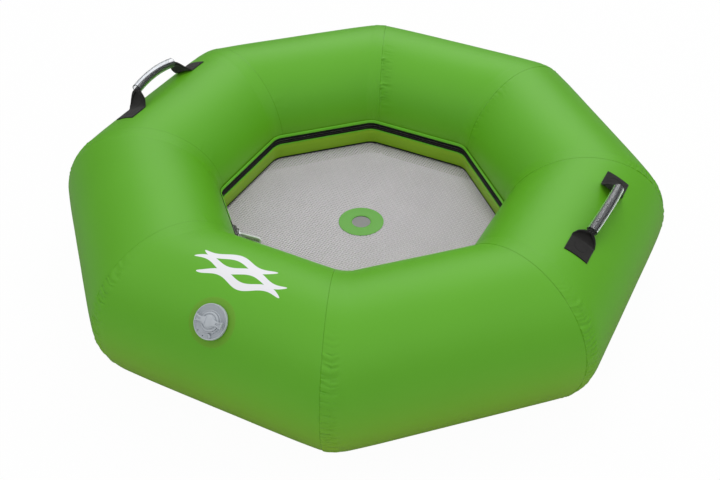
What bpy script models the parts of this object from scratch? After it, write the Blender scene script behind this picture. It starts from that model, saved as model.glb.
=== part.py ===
"""River tube: an eight-sided inflatable ring in coated fabric with an inner air cell, a zip round its
inner side, a mesh floor, a push valve with a turn cap and two webbing handles with tube grips.

Frame: metres, +Z up, origin on the ground under the middle of the ring. The side with the valve faces -Y,
and the two handles are on the +X and -X sides.
"""
import bpy
import bmesh
from math import asin, cos, pi, radians, sin, tan
from mathutils import Matrix, Vector

# Ring: flat distances, measured square to a side or to a facet
side_count = 8
ring_apothem = 0.450
tube_radius = 0.160
facet_count = 40
skin_wall = 0.0010
touch_gap = 0.0003
cell_slack = 0.0006
cell_wall = 0.0008
cut_overrun = 0.010

# Zip round the inner side; heights are counted from the tube's middle height
zip_half_slot = 0.0010
tape_wall = 0.0008
tape_height = 0.0170
tooth_row_height = 0.0035
tooth_row_depth = 0.0025
flap_foot_height = 0.0070
flap_width = 0.0090
flap_wall = 0.0010

# Slider, on the zip of the side that faces -135 degrees; its place is the middle of its length
slider_azimuth = -135.0
slider_place = 0.0165
slider_length = 0.033
slider_height = 0.017
slider_front_wall = 0.0030
slider_flange_wall = 0.0017
slider_post_wall = 0.0012
slider_back_wall = 0.0011
slider_back_height = 0.016
stop_length = 0.010
bail_wire = 0.0011
bail_reach = 0.0050
bail_height = 0.013
bail_offset = 0.0015
link_pitch = 0.0160
link_height = 0.0050
link_wall = 0.0026
eye_wall = 0.0014
pin_radius = 0.0010
pin_length = 0.0132
pin_clearance = 0.0003
tab_length = 0.0480
tab_height = 0.0140
tab_wall = 0.0026
tab_rest_angle = 50.0
tab_end_radius = 0.0060

# Floor: skirt, binding, net and the drain's two rings
skirt_top_drop = 0.0090
skirt_bend_drop = 0.0210
skirt_foot_drop = 0.0540
skirt_wall = 0.0010
skirt_foot_lean = 0.0060
binding_wall = 0.0008
binding_height = 0.0045
net_wall = 0.0012
net_pitch = 0.0340
net_strand = 0.0060
net_rim = 0.0090
drain_bore = 0.0205
drain_ring_radius = 0.0500
drain_ring_wall = 0.0008

# Valve, on the side that faces -Y
valve_azimuth = -90.0
valve_angle = 45.0
valve_place = 0.005
gasket_wall = 0.0010
gasket_radius = 0.0300
flange_radius = 0.0325
flange_rim_width = 0.0050
flange_rim_height = 0.0060
flange_dish_height = 0.0036
flange_root = 0.0060
collar_radius = 0.0205
collar_height = 0.0070
barrel_radius = 0.0190
barrel_bore = 0.0155
barrel_depth = 0.0260
seat_bore = 0.0120
seat_wall = 0.0028
nut_radius = 0.0290
nut_depth = 0.0110
spider_wall = 0.0020
spider_hub = 0.0045
spider_hole_radius = 0.0035
spider_hole_circle = 0.0100
spider_hole_count = 5
stem_radius = 0.0015
stem_clearance = 0.0003
stem_foot_radius = 0.0050
stem_foot_wall = 0.0015
button_radius = 0.0060
button_wall = 0.0025
button_depth = 0.0070
seal_disc_radius = 0.0142
seal_disc_wall = 0.0015
spring_radius = 0.0042
spring_wire = 0.0004
spring_turns = 5
cap_radius = 0.0180
cap_wall = 0.0027
plug_depth = 0.0050
plug_clearance = 0.0003
o_ring_wire = 0.0009
o_ring_depth = 0.0010
grip_bar_length = 0.0540
grip_bar_width = 0.0090
grip_bar_end_width = 0.0140
grip_bar_height = 0.0045
grip_disc_radius = 0.0110

# Handles, on the +X and -X sides
handle_angle = 66.0
webbing_width = 0.0508
webbing_wall = 0.0018
tab_outer_place = 0.138
tab_inner_place = 0.097
grip_end_place = 0.066
grip_sagitta = 0.0070
left_grip_rise = 0.0345
right_grip_rise = 0.0260
right_handle_place = 0.0040
right_grip_shift = -0.0040
right_grip_lean = 7.0
right_grip_tilt = 8.5
grip_radius = 0.0112
grip_wall = 0.0020
folded_width = 0.0150
folded_wall = 0.0070
folded_overhang = 0.0040
rise_start_lift = 0.0005

# Fineness of round pieces
round_steps = 32
small_round_steps = 16
curl_points = 8
grip_rings = 8
rise_rings = 6

tube_height = tube_radius
half_side = pi / side_count
slit_apothem = ring_apothem - tube_radius
skirt_foot_apothem = slit_apothem + skirt_foot_lean
vertex_shift = pi / facet_count
tape_face = slit_apothem - touch_gap - tape_wall
tooth_face = tape_face - touch_gap - tooth_row_depth
cover_face = tape_face - touch_gap
cell_radius = tube_radius - skin_wall - cell_slack

for old in list(bpy.data.objects):
    bpy.data.objects.remove(old, do_unlink=True)

parts = bpy.data.collections.new("river_tube")
guides = bpy.data.collections.new("guides")
bpy.context.scene.collection.children.link(parts)
bpy.context.scene.collection.children.link(guides)


def make_material(name, colour, roughness, metallic=0.0):
    """A plain Principled material."""
    material = bpy.data.materials.new(name)
    material.use_nodes = True
    shader = material.node_tree.nodes["Principled BSDF"]
    shader.inputs["Base Color"].default_value = (*colour, 1.0)
    shader.inputs["Roughness"].default_value = roughness
    shader.inputs["Metallic"].default_value = metallic
    return material


def add_object(name, mesh, matrix, finish=None):
    """Links a mesh as a part with its own material, or as a hidden guide where no finish is given."""
    piece = bpy.data.objects.new(name, mesh)
    piece.matrix_world = matrix
    if finish:
        parts.objects.link(piece)
        mesh.materials.append(make_material(name, *finish))
    else:
        guides.objects.link(piece)
        piece.hide_render = True
        piece.display_type = "WIRE"
    return piece


def finish_mesh(name, shape, matrix, finish):
    """Turns a bmesh into an object, with its faces pointing out."""
    bmesh.ops.recalc_face_normals(shape, faces=shape.faces)
    mesh = bpy.data.meshes.new(name)
    shape.to_mesh(mesh)
    shape.free()
    return add_object(name, mesh, matrix, finish)


def boolean(target, tool, operation):
    """Adds an exact Boolean to the target."""
    modifier = target.modifiers.new(tool.name, "BOOLEAN")
    modifier.object = tool
    modifier.operation = operation
    modifier.solver = "EXACT"


def side_frame(azimuth):
    """Local +X points out of the side, local +Y runs along it and local Z is up, from the tube's middle."""
    return Matrix.Translation((0, 0, tube_height)) @ Matrix.Rotation(radians(azimuth), 4, "Z")


def tube_point(distance, angle):
    """A point (out, up) of a side's cross-section, at a distance from the tube's centre line."""
    return (ring_apothem + distance * cos(angle), distance * sin(angle))


def facet_angles():
    """The corner angles of the tube's cross-section, from one lip of the zip slit round to the other."""
    return [-pi + vertex_shift * (2 * k + 1) for k in range(facet_count)]


def facet_distance(flat_radius, angle):
    """How far the faceted tube of this flat radius reaches at an angle."""
    step = 2 * vertex_shift
    offset = (angle + pi) % step
    return flat_radius / cos(min(offset, step - offset))


def solid_outline(flat_radius):
    """The whole cross-section of a tube, as a closed outline."""
    return [tube_point(flat_radius / cos(vertex_shift), a) for a in facet_angles()]


def extrude_outline(name, outline, start_of, end_of, matrix, finish=None):
    """A closed outline of (out, up) points, drawn along the side from start_of(out) to end_of(out)."""
    shape = bmesh.new()
    base = [shape.verts.new((out, start_of(out), up)) for out, up in outline]
    face = shape.faces.new(base)
    grown = bmesh.ops.extrude_face_region(shape, geom=[face])
    for vert in [v for v in grown["geom"] if isinstance(v, bmesh.types.BMVert)]:
        vert.co.y = end_of(vert.co.x)
    return finish_mesh(name, shape, matrix, finish)


def mitred_bar(name, outline, azimuth, finish=None):
    """An outline drawn over one whole side, cut to the mitres that it shares with its neighbours."""
    return extrude_outline(
        name, outline,
        lambda out: touch_gap / 2 - out * tan(half_side),
        lambda out: out * tan(half_side) - touch_gap / 2,
        side_frame(azimuth), finish)


def straight_bar(name, outline, start, end, azimuth, finish=None):
    """An outline drawn straight along a side, between two places on it."""
    return extrude_outline(name, outline, lambda out: start, lambda out: end, side_frame(azimuth), finish)


def screw(name, outline, closed, steps, matrix, finish=None):
    """A profile of (radius, height) points turned round its frame's Z axis."""
    shape = bmesh.new()
    verts = [shape.verts.new((r, 0, h)) for r, h in outline]
    for first, second in zip(verts, verts[1:]):
        shape.edges.new((first, second))
    if closed:
        shape.edges.new((verts[-1], verts[0]))
    mesh = bpy.data.meshes.new(name)
    shape.to_mesh(mesh)
    shape.free()
    piece = add_object(name, mesh, matrix, finish)
    add_screw(piece, steps)
    return piece


def add_screw(piece, steps):
    """Turns a profile all the way round."""
    turn = piece.modifiers.new("turn", "SCREW")
    turn.steps = steps
    turn.render_steps = steps
    turn.use_merge_vertices = True
    turn.merge_threshold = touch_gap / 4


def ring_outline(inner, outer, foot, top):
    """A rectangular section as a closed loop that runs down its outer side."""
    return [(outer, top), (outer, foot), (inner, foot), (inner, top)]


def octagon_ring(name, outline, finish=None):
    """A closed section of (apothem, height) points swept round the whole ring, with a corner at each mitre."""
    corner = [(apothem / cos(half_side), height) for apothem, height in outline]
    matrix = side_frame(0) @ Matrix.Rotation(half_side, 4, "Z")
    return screw(name, corner, True, side_count, matrix, finish)


def round_bar(name, radius, foot, top, steps, matrix, finish=None):
    """A cylinder along its frame's Z axis."""
    return screw(name, [(0, top), (radius, top), (radius, foot), (0, foot)], False, steps, matrix, finish)


def box(name, low, high, matrix, finish=None):
    """A box between two corners."""
    shape = bmesh.new()
    bmesh.ops.create_cube(shape, size=1)
    low, high = Vector(low), Vector(high)
    for vert in shape.verts:
        vert.co = (low + high) / 2 + Vector(a * b for a, b in zip(vert.co, high - low))
    return finish_mesh(name, shape, matrix, finish)


def curve_mesh(name, points, radius, resolution, matrix, finish, closed=False):
    """A round wire along points, made a welded mesh."""
    curve = bpy.data.curves.new(name, "CURVE")
    curve.dimensions = "3D"
    curve.bevel_depth = radius
    curve.bevel_resolution = resolution
    curve.use_fill_caps = True
    spline = curve.splines.new("POLY")
    spline.points.add(len(points) - 1)
    for point, place in zip(spline.points, points):
        point.co = (*place, 1)
    spline.use_cyclic_u = closed
    wire = bpy.data.objects.new(name + "_wire", curve)
    guides.objects.link(wire)
    evaluated = wire.evaluated_get(bpy.context.evaluated_depsgraph_get())
    mesh = bpy.data.meshes.new_from_object(evaluated)
    bpy.data.objects.remove(wire, do_unlink=True)
    shape = bmesh.new()
    shape.from_mesh(mesh)
    bmesh.ops.remove_doubles(shape, verts=shape.verts, dist=touch_gap / 10)
    return finish_mesh(name, shape, matrix, finish)


def loft(name, sections, matrix, finish):
    """A closed solid through a row of loops with equal numbers of points."""
    shape = bmesh.new()
    loops = [[shape.verts.new(point) for point in section] for section in sections]
    for first, second in zip(loops, loops[1:]):
        for i, corner in enumerate(first):
            j = (i + 1) % len(first)
            shape.faces.new((corner, first[j], second[j], second[i]))
    shape.faces.new(loops[0])
    shape.faces.new(loops[-1])
    return finish_mesh(name, shape, matrix, finish)


# Finishes: linear colour, roughness, metallic
green_skin = ((0.105, 0.380, 0.036), 0.40)
cell_skin = ((0.75, 0.75, 0.70), 0.45)
zip_cloth = ((0.012, 0.012, 0.010), 0.70)
dark_metal = ((0.020, 0.020, 0.018), 0.35, 0.6)
bright_metal = ((0.62, 0.62, 0.62), 0.25, 1.0)
mesh_cloth = ((0.42, 0.41, 0.41), 0.70)
valve_plastic = ((0.42, 0.45, 0.48), 0.45)
seal_rubber = ((0.03, 0.03, 0.03), 0.60)
spring_steel = ((0.55, 0.55, 0.55), 0.30, 1.0)
webbing_cloth = ((0.030, 0.030, 0.030), 0.75)
clear_vinyl = ((0.55, 0.56, 0.58), 0.15)


def make_cover():
    """Eight mitred panels of the outer skin, each open along the zip's slit."""
    outer = solid_outline(tube_radius)
    inner = solid_outline(tube_radius - skin_wall)
    section = outer + inner[::-1]
    places = {"front": -90, "front_right": -45, "right": 0, "rear_right": 45,
              "rear": 90, "rear_left": 135, "left": 180, "front_left": -135}
    panels = {}
    for place, azimuth in places.items():
        panels[place] = mitred_bar("cover_panel_" + place, section, azimuth, green_skin)
    return panels


def make_air_cell():
    """The inner bladder, a closed skin round the ring that only the valve's hole opens."""
    def loop(flat_radius):
        return [(out / cos(half_side), up) for out, up in solid_outline(flat_radius)]

    shape = bmesh.new()
    for points in (loop(cell_radius)[::-1], loop(cell_radius - cell_wall)):
        verts = [shape.verts.new((out, 0, up)) for out, up in points]
        for i, vert in enumerate(verts):
            shape.edges.new((vert, verts[(i + 1) % len(verts)]))
    mesh = bpy.data.meshes.new("air_cell")
    shape.to_mesh(mesh)
    shape.free()
    matrix = side_frame(0) @ Matrix.Rotation(half_side, 4, "Z")
    cell = add_object("air_cell", mesh, matrix, cell_skin)
    add_screw(cell, side_count)
    return cell


def make_zip():
    """Two tapes over the slit's lips, two rows of teeth and the lip that covers the upper tape."""
    tape_top = zip_half_slot + tape_height
    teeth_top = zip_half_slot + tooth_row_height
    tape = (tape_face, tape_face + tape_wall)
    teeth = (tooth_face, tooth_face + tooth_row_depth)
    octagon_ring("zipper_tape_upper", ring_outline(*tape, zip_half_slot, tape_top), zip_cloth)
    octagon_ring("zipper_tape_lower", ring_outline(*tape, -tape_top, -zip_half_slot), zip_cloth)
    octagon_ring("zipper_teeth_upper", ring_outline(*teeth, zip_half_slot, teeth_top), zip_cloth)
    octagon_ring("zipper_teeth_lower", ring_outline(*teeth, -teeth_top, -zip_half_slot), zip_cloth)
    flap = (cover_face - flap_wall, cover_face)
    flap_top = flap_foot_height + flap_width
    octagon_ring("zipper_flap", ring_outline(*flap, flap_foot_height, flap_top), green_skin)


def make_slider():
    """The slider on its teeth, the stop that it closes against, its bail, link, pin and pull tab."""
    plate_back = tooth_face - touch_gap
    plate_front = plate_back - slider_front_wall
    flange_in = zip_half_slot + tooth_row_height + touch_gap
    flange_out = flange_in + slider_flange_wall
    post = slider_post_wall / 2
    back = tape_face + tape_wall + touch_gap
    half = slider_height / 2
    half_back = slider_back_height / 2
    upper = [
        (plate_front, half), (plate_back, half), (plate_back, flange_out), (cover_face, flange_out),
        (cover_face, flange_in), (plate_back, flange_in), (plate_back, post), (back, post),
        (back, half_back), (back + slider_back_wall, half_back)]
    lower = [(out, -up) for out, up in reversed(upper)]
    start = slider_place - slider_length / 2
    end = slider_place + slider_length / 2
    straight_bar("slider_body", upper + lower, start, end, slider_azimuth, dark_metal)

    stop = [
        (plate_front, flange_out), (cover_face, flange_out), (cover_face, flange_in), (plate_back, flange_in),
        (plate_back, -flange_in), (cover_face, -flange_in), (cover_face, -flange_out), (plate_front, -flange_out)]
    stop_start = end + 2 * touch_gap
    straight_bar("zipper_end_stop", stop, stop_start, stop_start + stop_length, slider_azimuth, zip_cloth)

    frame = side_frame(slider_azimuth)
    bail_place = slider_place + bail_offset
    run = plate_front - bail_reach
    foot = plate_front - touch_gap
    wire = [(foot, bail_height / 2), (run + bail_wire, bail_height / 2), (run, bail_height / 2 - bail_wire),
            (run, bail_wire - bail_height / 2), (run + bail_wire, -bail_height / 2), (foot, -bail_height / 2)]
    curve_mesh("slider_bail", [(out, bail_place, up) for out, up in wire], bail_wire, 2, frame, dark_metal)

    bail_hole = bail_wire + pin_clearance
    pin_hole = pin_radius + pin_clearance
    at_bail = frame @ Matrix.Translation((run, bail_place, 0))
    pin_place = bail_place + link_pitch
    at_pin = frame @ Matrix.Translation((run, pin_place, 0))
    link = eyed_bar("pull_link", link_pitch, link_height, link_wall, (bail_hole, bail_hole + eye_wall),
                    (pin_hole, pin_hole + eye_wall), at_bail @ Matrix.Rotation(pi / 2, 4, "Z"), bright_metal)

    round_bar("pull_pin", pin_radius, -pin_length / 2, pin_length / 2, small_round_steps, at_pin, bright_metal)
    direction = radians(90 + tab_rest_angle)
    tab = eyed_bar("pull_tab", tab_length, tab_height, tab_wall, (pin_hole, pin_hole + eye_wall), None,
                   at_pin @ Matrix.Rotation(direction, 4, "Z"), bright_metal)
    link_room = pin_hole + eye_wall + touch_gap
    half_room = link_height / 2 + touch_gap
    room = box("tab_fork_room", (-2 * link_room, -2 * link_room, -half_room),
               (link_room, 2 * link_room, half_room), tab.matrix_world)
    boolean(tab, room, "DIFFERENCE")
    return link, tab


def eyed_bar(name, pitch, height, wall, first_eye, second_eye, matrix, finish):
    """A flat bar standing on edge from an eye at its frame's origin, along +X, to a second eye or a plain end."""
    shape = bmesh.new()
    bmesh.ops.create_cube(shape, size=1)
    for vert in shape.verts:
        vert.co = Vector(((vert.co.x + 0.5) * pitch, vert.co.y * wall, vert.co.z * height))
    bar = finish_mesh(name, shape, matrix, finish)
    for place, eye in ((0, first_eye), (pitch, second_eye)):
        if eye:
            bore, rim = eye
            at_eye = matrix @ Matrix.Translation((place, 0, 0))
            boss = round_bar(f"{name}_boss_{place > 0:d}", rim, -height / 2, height / 2, small_round_steps, at_eye)
            boolean(bar, boss, "UNION")
    for place, eye in ((0, first_eye), (pitch, second_eye)):
        if eye:
            bore, rim = eye
            at_eye = matrix @ Matrix.Translation((place, 0, 0))
            hole = round_bar(f"{name}_bore_{place > 0:d}", bore, -height, height, small_round_steps, at_eye)
            boolean(bar, hole, "DIFFERENCE")
    return bar


def make_floor():
    """The skirt that hangs from the lower tape, its binding, the net and the drain's two rings."""
    top_in = cover_face - skirt_wall
    foot_in = skirt_foot_apothem - skirt_wall
    skirt = [
        (cover_face, -skirt_top_drop), (cover_face, -skirt_bend_drop), (skirt_foot_apothem, -skirt_foot_drop),
        (foot_in, -skirt_foot_drop), (top_in, -skirt_bend_drop), (top_in, -skirt_top_drop)]
    octagon_ring("floor_skirt", skirt, green_skin)

    lean = (foot_in - top_in) / (skirt_foot_drop - skirt_bend_drop)
    bind_foot = foot_in - touch_gap - binding_wall / 2
    bind_top = bind_foot - lean * binding_height
    binding_top_drop = skirt_foot_drop - binding_height
    half = binding_wall / 2
    binding = [
        (bind_top + half, -binding_top_drop), (bind_foot + half, -skirt_foot_drop),
        (bind_foot - half, -skirt_foot_drop), (bind_top - half, -binding_top_drop)]
    octagon_ring("floor_binding", binding, zip_cloth)

    net_top = -skirt_foot_drop - touch_gap
    net_foot = net_top - net_wall
    net_apothem = skirt_foot_apothem - touch_gap
    net = screw("floor_mesh", [(0, net_top), (net_apothem / cos(half_side), net_top),
                               (net_apothem / cos(half_side), net_foot), (0, net_foot)],
                False, side_count, side_frame(0) @ Matrix.Rotation(half_side, 4, "Z"), mesh_cloth)
    boolean(net, net_gaps(net_foot, net_top, net_apothem - net_rim), "DIFFERENCE")

    ring = (drain_bore, drain_ring_radius)
    upper_foot = net_top + touch_gap
    lower_top = net_foot - touch_gap
    screw("drain_ring_upper", ring_outline(*ring, upper_foot, upper_foot + drain_ring_wall), True,
          round_steps, side_frame(0), green_skin)
    screw("drain_ring_lower", ring_outline(*ring, lower_top - drain_ring_wall, lower_top), True,
          round_steps, side_frame(0), green_skin)


def net_gaps(foot, top, reach):
    """The gaps between the net's strands, with the drain's hole, as one cutter."""
    shape = bmesh.new()
    gap = net_pitch - net_strand
    count = int(reach / net_pitch) + 1
    keep_out = drain_ring_radius + touch_gap
    middle = Matrix.Translation((0, 0, (foot + top) / 2))
    size = Matrix.Diagonal((gap, gap, 2 * (top - foot), 1))
    for i in range(-count, count + 1):
        for j in range(-count, count + 1):
            x, y = i * net_pitch, j * net_pitch
            far = Vector((abs(x) + gap / 2, abs(y) + gap / 2))
            near = Vector((max(abs(x) - gap / 2, 0), max(abs(y) - gap / 2, 0)))
            inside = max(far.x, far.y, (far.x + far.y) * cos(pi / 4)) < reach
            if inside and near.length > keep_out:
                place = Matrix.Translation((x, y, 0)) @ middle @ size
                bmesh.ops.create_cube(shape, size=1, matrix=place)
    bmesh.ops.create_cone(
        shape, cap_ends=True, segments=round_steps, radius1=drain_bore, radius2=drain_bore,
        depth=2 * (top - foot), matrix=middle)
    return finish_mesh("net_gap_cutter", shape, side_frame(0), None)


def valve_frame():
    """Origin on the skin under the valve's middle, local +Z out of the skin, local +X along the side."""
    out, up = tube_point(tube_radius, radians(valve_angle))
    tilt = Matrix.Rotation(radians(90 - valve_angle), 4, "Y")
    turn = Matrix.Rotation(radians(90), 4, "Z")
    return side_frame(valve_azimuth) @ Matrix.Translation((out, -valve_place, up)) @ tilt @ turn


def tube_tool(name, flat_radius):
    """A solid tube over the valve's side, as a cutter."""
    return mitred_bar(name, solid_outline(flat_radius), valve_azimuth)


def make_valve(cover, cell):
    """The valve's body, gasket, nut, spider, stem, button, seal disc and spring."""
    frame = valve_frame()
    hole = round_bar("valve_hole", barrel_radius + touch_gap, -cut_overrun, cut_overrun, round_steps, frame)
    boolean(cover, hole, "DIFFERENCE")
    boolean(cell, hole, "DIFFERENCE")

    gasket = screw("valve_gasket", ring_outline(barrel_radius + touch_gap, gasket_radius, -cut_overrun, cut_overrun),
                   True, round_steps, frame, seal_rubber)
    boolean(gasket, tube_tool("gasket_top", tube_radius + touch_gap + gasket_wall), "INTERSECT")
    boolean(gasket, tube_tool("gasket_foot", tube_radius + touch_gap), "DIFFERENCE")

    rim_in = flange_radius - flange_rim_width
    edge = flange_rim_width / 3
    flange = [
        (flange_radius - edge, flange_rim_height), (flange_radius, flange_rim_height - edge),
        (flange_radius, -flange_root), (barrel_radius, -flange_root), (barrel_bore, -flange_root),
        (barrel_bore, collar_height), (collar_radius, collar_height), (collar_radius + edge, flange_dish_height),
        (rim_in - edge, flange_dish_height), (rim_in, flange_rim_height)]
    body = screw("valve_body", flange, True, round_steps, frame, valve_plastic)
    boolean(body, tube_tool("flange_foot", tube_radius + touch_gap + gasket_wall + touch_gap), "DIFFERENCE")
    barrel = screw("valve_barrel", [
        (barrel_radius, flange_dish_height - touch_gap), (barrel_radius, -barrel_depth), (seat_bore, -barrel_depth),
        (seat_bore, seat_wall - barrel_depth), (barrel_bore, seat_wall - barrel_depth),
        (barrel_bore, flange_dish_height - touch_gap)], True, round_steps, frame)
    boolean(body, barrel, "UNION")

    nut = screw("valve_nut", ring_outline(barrel_radius + touch_gap, nut_radius, -nut_depth, cut_overrun),
                True, round_steps, frame, valve_plastic)
    boolean(nut, tube_tool("nut_top", cell_radius - cell_wall - touch_gap), "INTERSECT")

    spider_foot = seat_wall - barrel_depth + touch_gap
    spider_top = spider_foot + spider_wall
    stem_bore = stem_radius + stem_clearance
    spider = screw("valve_spider", ring_outline(stem_bore, barrel_bore - touch_gap, spider_foot, spider_top),
                   True, round_steps, frame, valve_plastic)
    boolean(spider, spider_holes(frame, spider_foot, spider_top), "DIFFERENCE")

    disc_top = -barrel_depth - touch_gap
    disc_foot = disc_top - seal_disc_wall
    screw("valve_seal_disc", ring_outline(stem_bore, seal_disc_radius, disc_foot, disc_top),
          True, round_steps, frame, seal_rubber)
    foot_top = disc_foot - touch_gap
    foot = foot_top - stem_foot_wall
    button_top = -button_depth
    button_foot = button_top - button_wall
    stem = [(0, button_top - touch_gap), (stem_radius, button_top - touch_gap), (stem_radius, foot_top),
            (stem_foot_radius, foot_top), (stem_foot_radius, foot), (0, foot)]
    screw("valve_stem", stem, False, small_round_steps, frame, valve_plastic)
    screw("stem_button", ring_outline(stem_bore, button_radius, button_foot, button_top), True,
          small_round_steps, frame, valve_plastic)

    low = spider_top + touch_gap + spring_wire
    high = button_foot - touch_gap - spring_wire
    steps = spring_turns * curl_points
    coil = []
    for i in range(steps + 1):
        angle = 2 * pi * i / curl_points
        coil.append((spring_radius * cos(angle), spring_radius * sin(angle), low + (high - low) * i / steps))
    curve_mesh("valve_spring", coil, spring_wire, 1, frame, spring_steel)


def spider_holes(frame, foot, top):
    """The air holes round the spider's hub, as one cutter."""
    shape = bmesh.new()
    for i in range(spider_hole_count):
        angle = 2 * pi * i / spider_hole_count
        place = Vector((spider_hole_circle * cos(angle), spider_hole_circle * sin(angle), (foot + top) / 2))
        bmesh.ops.create_cone(
            shape, cap_ends=True, segments=small_round_steps, radius1=spider_hole_radius,
            radius2=spider_hole_radius, depth=2 * (top - foot), matrix=Matrix.Translation(place))
    return finish_mesh("spider_hole_cutter", shape, frame, None)


def make_cap():
    """The turn cap with its plug and grip bar, and the ring that seals the plug."""
    frame = valve_frame()
    cap_foot = collar_height + touch_gap
    cap_top = cap_foot + cap_wall
    plug = barrel_bore - plug_clearance
    groove_in = plug - 2 * o_ring_wire - touch_gap
    groove_half = o_ring_wire + touch_gap
    groove_top = -o_ring_depth + groove_half
    groove_foot = -o_ring_depth - groove_half
    edge = cap_wall / 3
    profile = [
        (0, cap_top), (cap_radius - edge, cap_top), (cap_radius, cap_top - edge), (cap_radius, cap_foot),
        (plug, cap_foot), (plug, groove_top), (groove_in, groove_top), (groove_in, groove_foot),
        (plug, groove_foot), (plug, -plug_depth), (0, -plug_depth)]
    cap = screw("valve_cap", profile, False, round_steps, frame, valve_plastic)
    bar_foot = cap_foot + cap_wall / 2
    bar_top = cap_top + grip_bar_height
    half = grip_bar_length / 2
    waist = grip_bar_width / 2
    end = grip_bar_end_width / 2
    outline = [(half, end), (grip_disc_radius, waist), (-grip_disc_radius, waist), (-half, end),
               (-half, -end), (-grip_disc_radius, -waist), (grip_disc_radius, -waist), (half, -end)]
    shape = bmesh.new()
    face = shape.faces.new([shape.verts.new((x, y, bar_foot)) for x, y in outline])
    grown = bmesh.ops.extrude_face_region(shape, geom=[face])
    for vert in [v for v in grown["geom"] if isinstance(v, bmesh.types.BMVert)]:
        vert.co.z = bar_top
    bar = finish_mesh("cap_grip_bar", shape, frame, None)
    disc = round_bar("cap_grip_disc", grip_disc_radius, bar_foot, bar_top, round_steps, frame)
    boolean(cap, bar, "UNION")
    boolean(cap, disc, "UNION")

    middle = plug - o_ring_wire - touch_gap / 2
    ring = [(middle + o_ring_wire * cos(a), -o_ring_depth - o_ring_wire * sin(a))
            for a in (2 * pi * i / curl_points for i in range(curl_points))]
    screw("cap_seal", ring, True, round_steps, frame, seal_rubber)


def handle_frame(azimuth):
    """Origin on the skin under the handle's middle, local +Z out of the skin, local +Y along the side."""
    out, up = tube_point(tube_radius, radians(handle_angle))
    tilt = Matrix.Rotation(radians(90 - handle_angle), 4, "Y")
    return side_frame(azimuth) @ Matrix.Translation((out, 0, up)) @ tilt


def grip_arc(rise):
    """The radius of the grip's arched middle line and the height of its centre, for a height of the grip's ends."""
    radius = (grip_end_place ** 2 + grip_sagitta ** 2) / (2 * grip_sagitta)
    return radius, rise + grip_sagitta - radius


def make_handle(name, azimuth, place, rise, shift, lean, tilt):
    """Two welded webbing tabs, the two strap ends that rise from them, the folded strap and its grip.

    The grip is shifted towards one tab, leans out from the side and is tilted down at one end.
    """
    half_angle = webbing_width / 2 / tube_radius
    middle = radians(handle_angle)
    first, last = middle - half_angle, middle + half_angle
    angles = [first] + [a for a in facet_angles() if first < a < last] + [last]
    under = tube_radius + touch_gap
    over = under + webbing_wall
    tab = [tube_point(facet_distance(over, a), a) for a in angles]
    tab += [tube_point(facet_distance(under, a), a) for a in reversed(angles)]
    base = handle_frame(azimuth) @ Matrix.Translation((0, place, 0))
    pose = Matrix.Translation((0, shift, 0)) @ Matrix.Rotation(radians(lean), 4, "Y")
    pose = pose @ Matrix.Rotation(radians(tilt), 4, "X")
    frame = base @ pose
    for end, sign in (("near", -1), ("far", 1)):
        low, high = sorted((place + sign * tab_inner_place, place + sign * tab_outer_place))
        straight_bar(f"handle_tab_{name}_{end}", tab, low, high, azimuth, webbing_cloth)
        loft(f"strap_rise_{name}_{end}", rise_sections(sign, rise, pose), base, webbing_cloth)

    arc_radius, centre = grip_arc(rise)
    half_arc = asin(grip_end_place / arc_radius)
    core_arc = half_arc + folded_overhang / arc_radius

    def arc_place(angle):
        return Vector((0, arc_radius * sin(angle), centre + arc_radius * cos(angle)))

    def along(reach):
        return [arc_place(-reach + 2 * reach * i / grip_rings) for i in range(grip_rings + 1)]

    grip = curve_mesh(f"grip_{name}", along(half_arc), grip_radius, 4, frame, clear_vinyl)
    bore_reach = half_arc + cut_overrun / arc_radius
    bore = curve_mesh(f"grip_bore_{name}", along(bore_reach), grip_radius - grip_wall, 2, frame, None)
    boolean(grip, bore, "DIFFERENCE")

    sections = []
    for i in range(grip_rings + 1):
        angle = -core_arc + 2 * core_arc * i / grip_rings
        up = Vector((0, sin(angle), cos(angle)))
        sections.append(strap_section(arc_place(angle), Vector((1, 0, 0)), up, folded_width, folded_wall, 0))
    loft(f"grip_webbing_{name}", sections, frame, webbing_cloth)


def strap_section(place, across, up, width, wall, droop):
    """A flat strap's section: six points across, square to its run, with its edges drooping."""
    points = []
    for level, shares in ((wall / 2, (-1, 0, 1)), (-wall / 2, (1, 0, -1))):
        for share in shares:
            points.append(place + across * (share * width / 2) + up * (level - droop * share * share))
    return points


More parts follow.
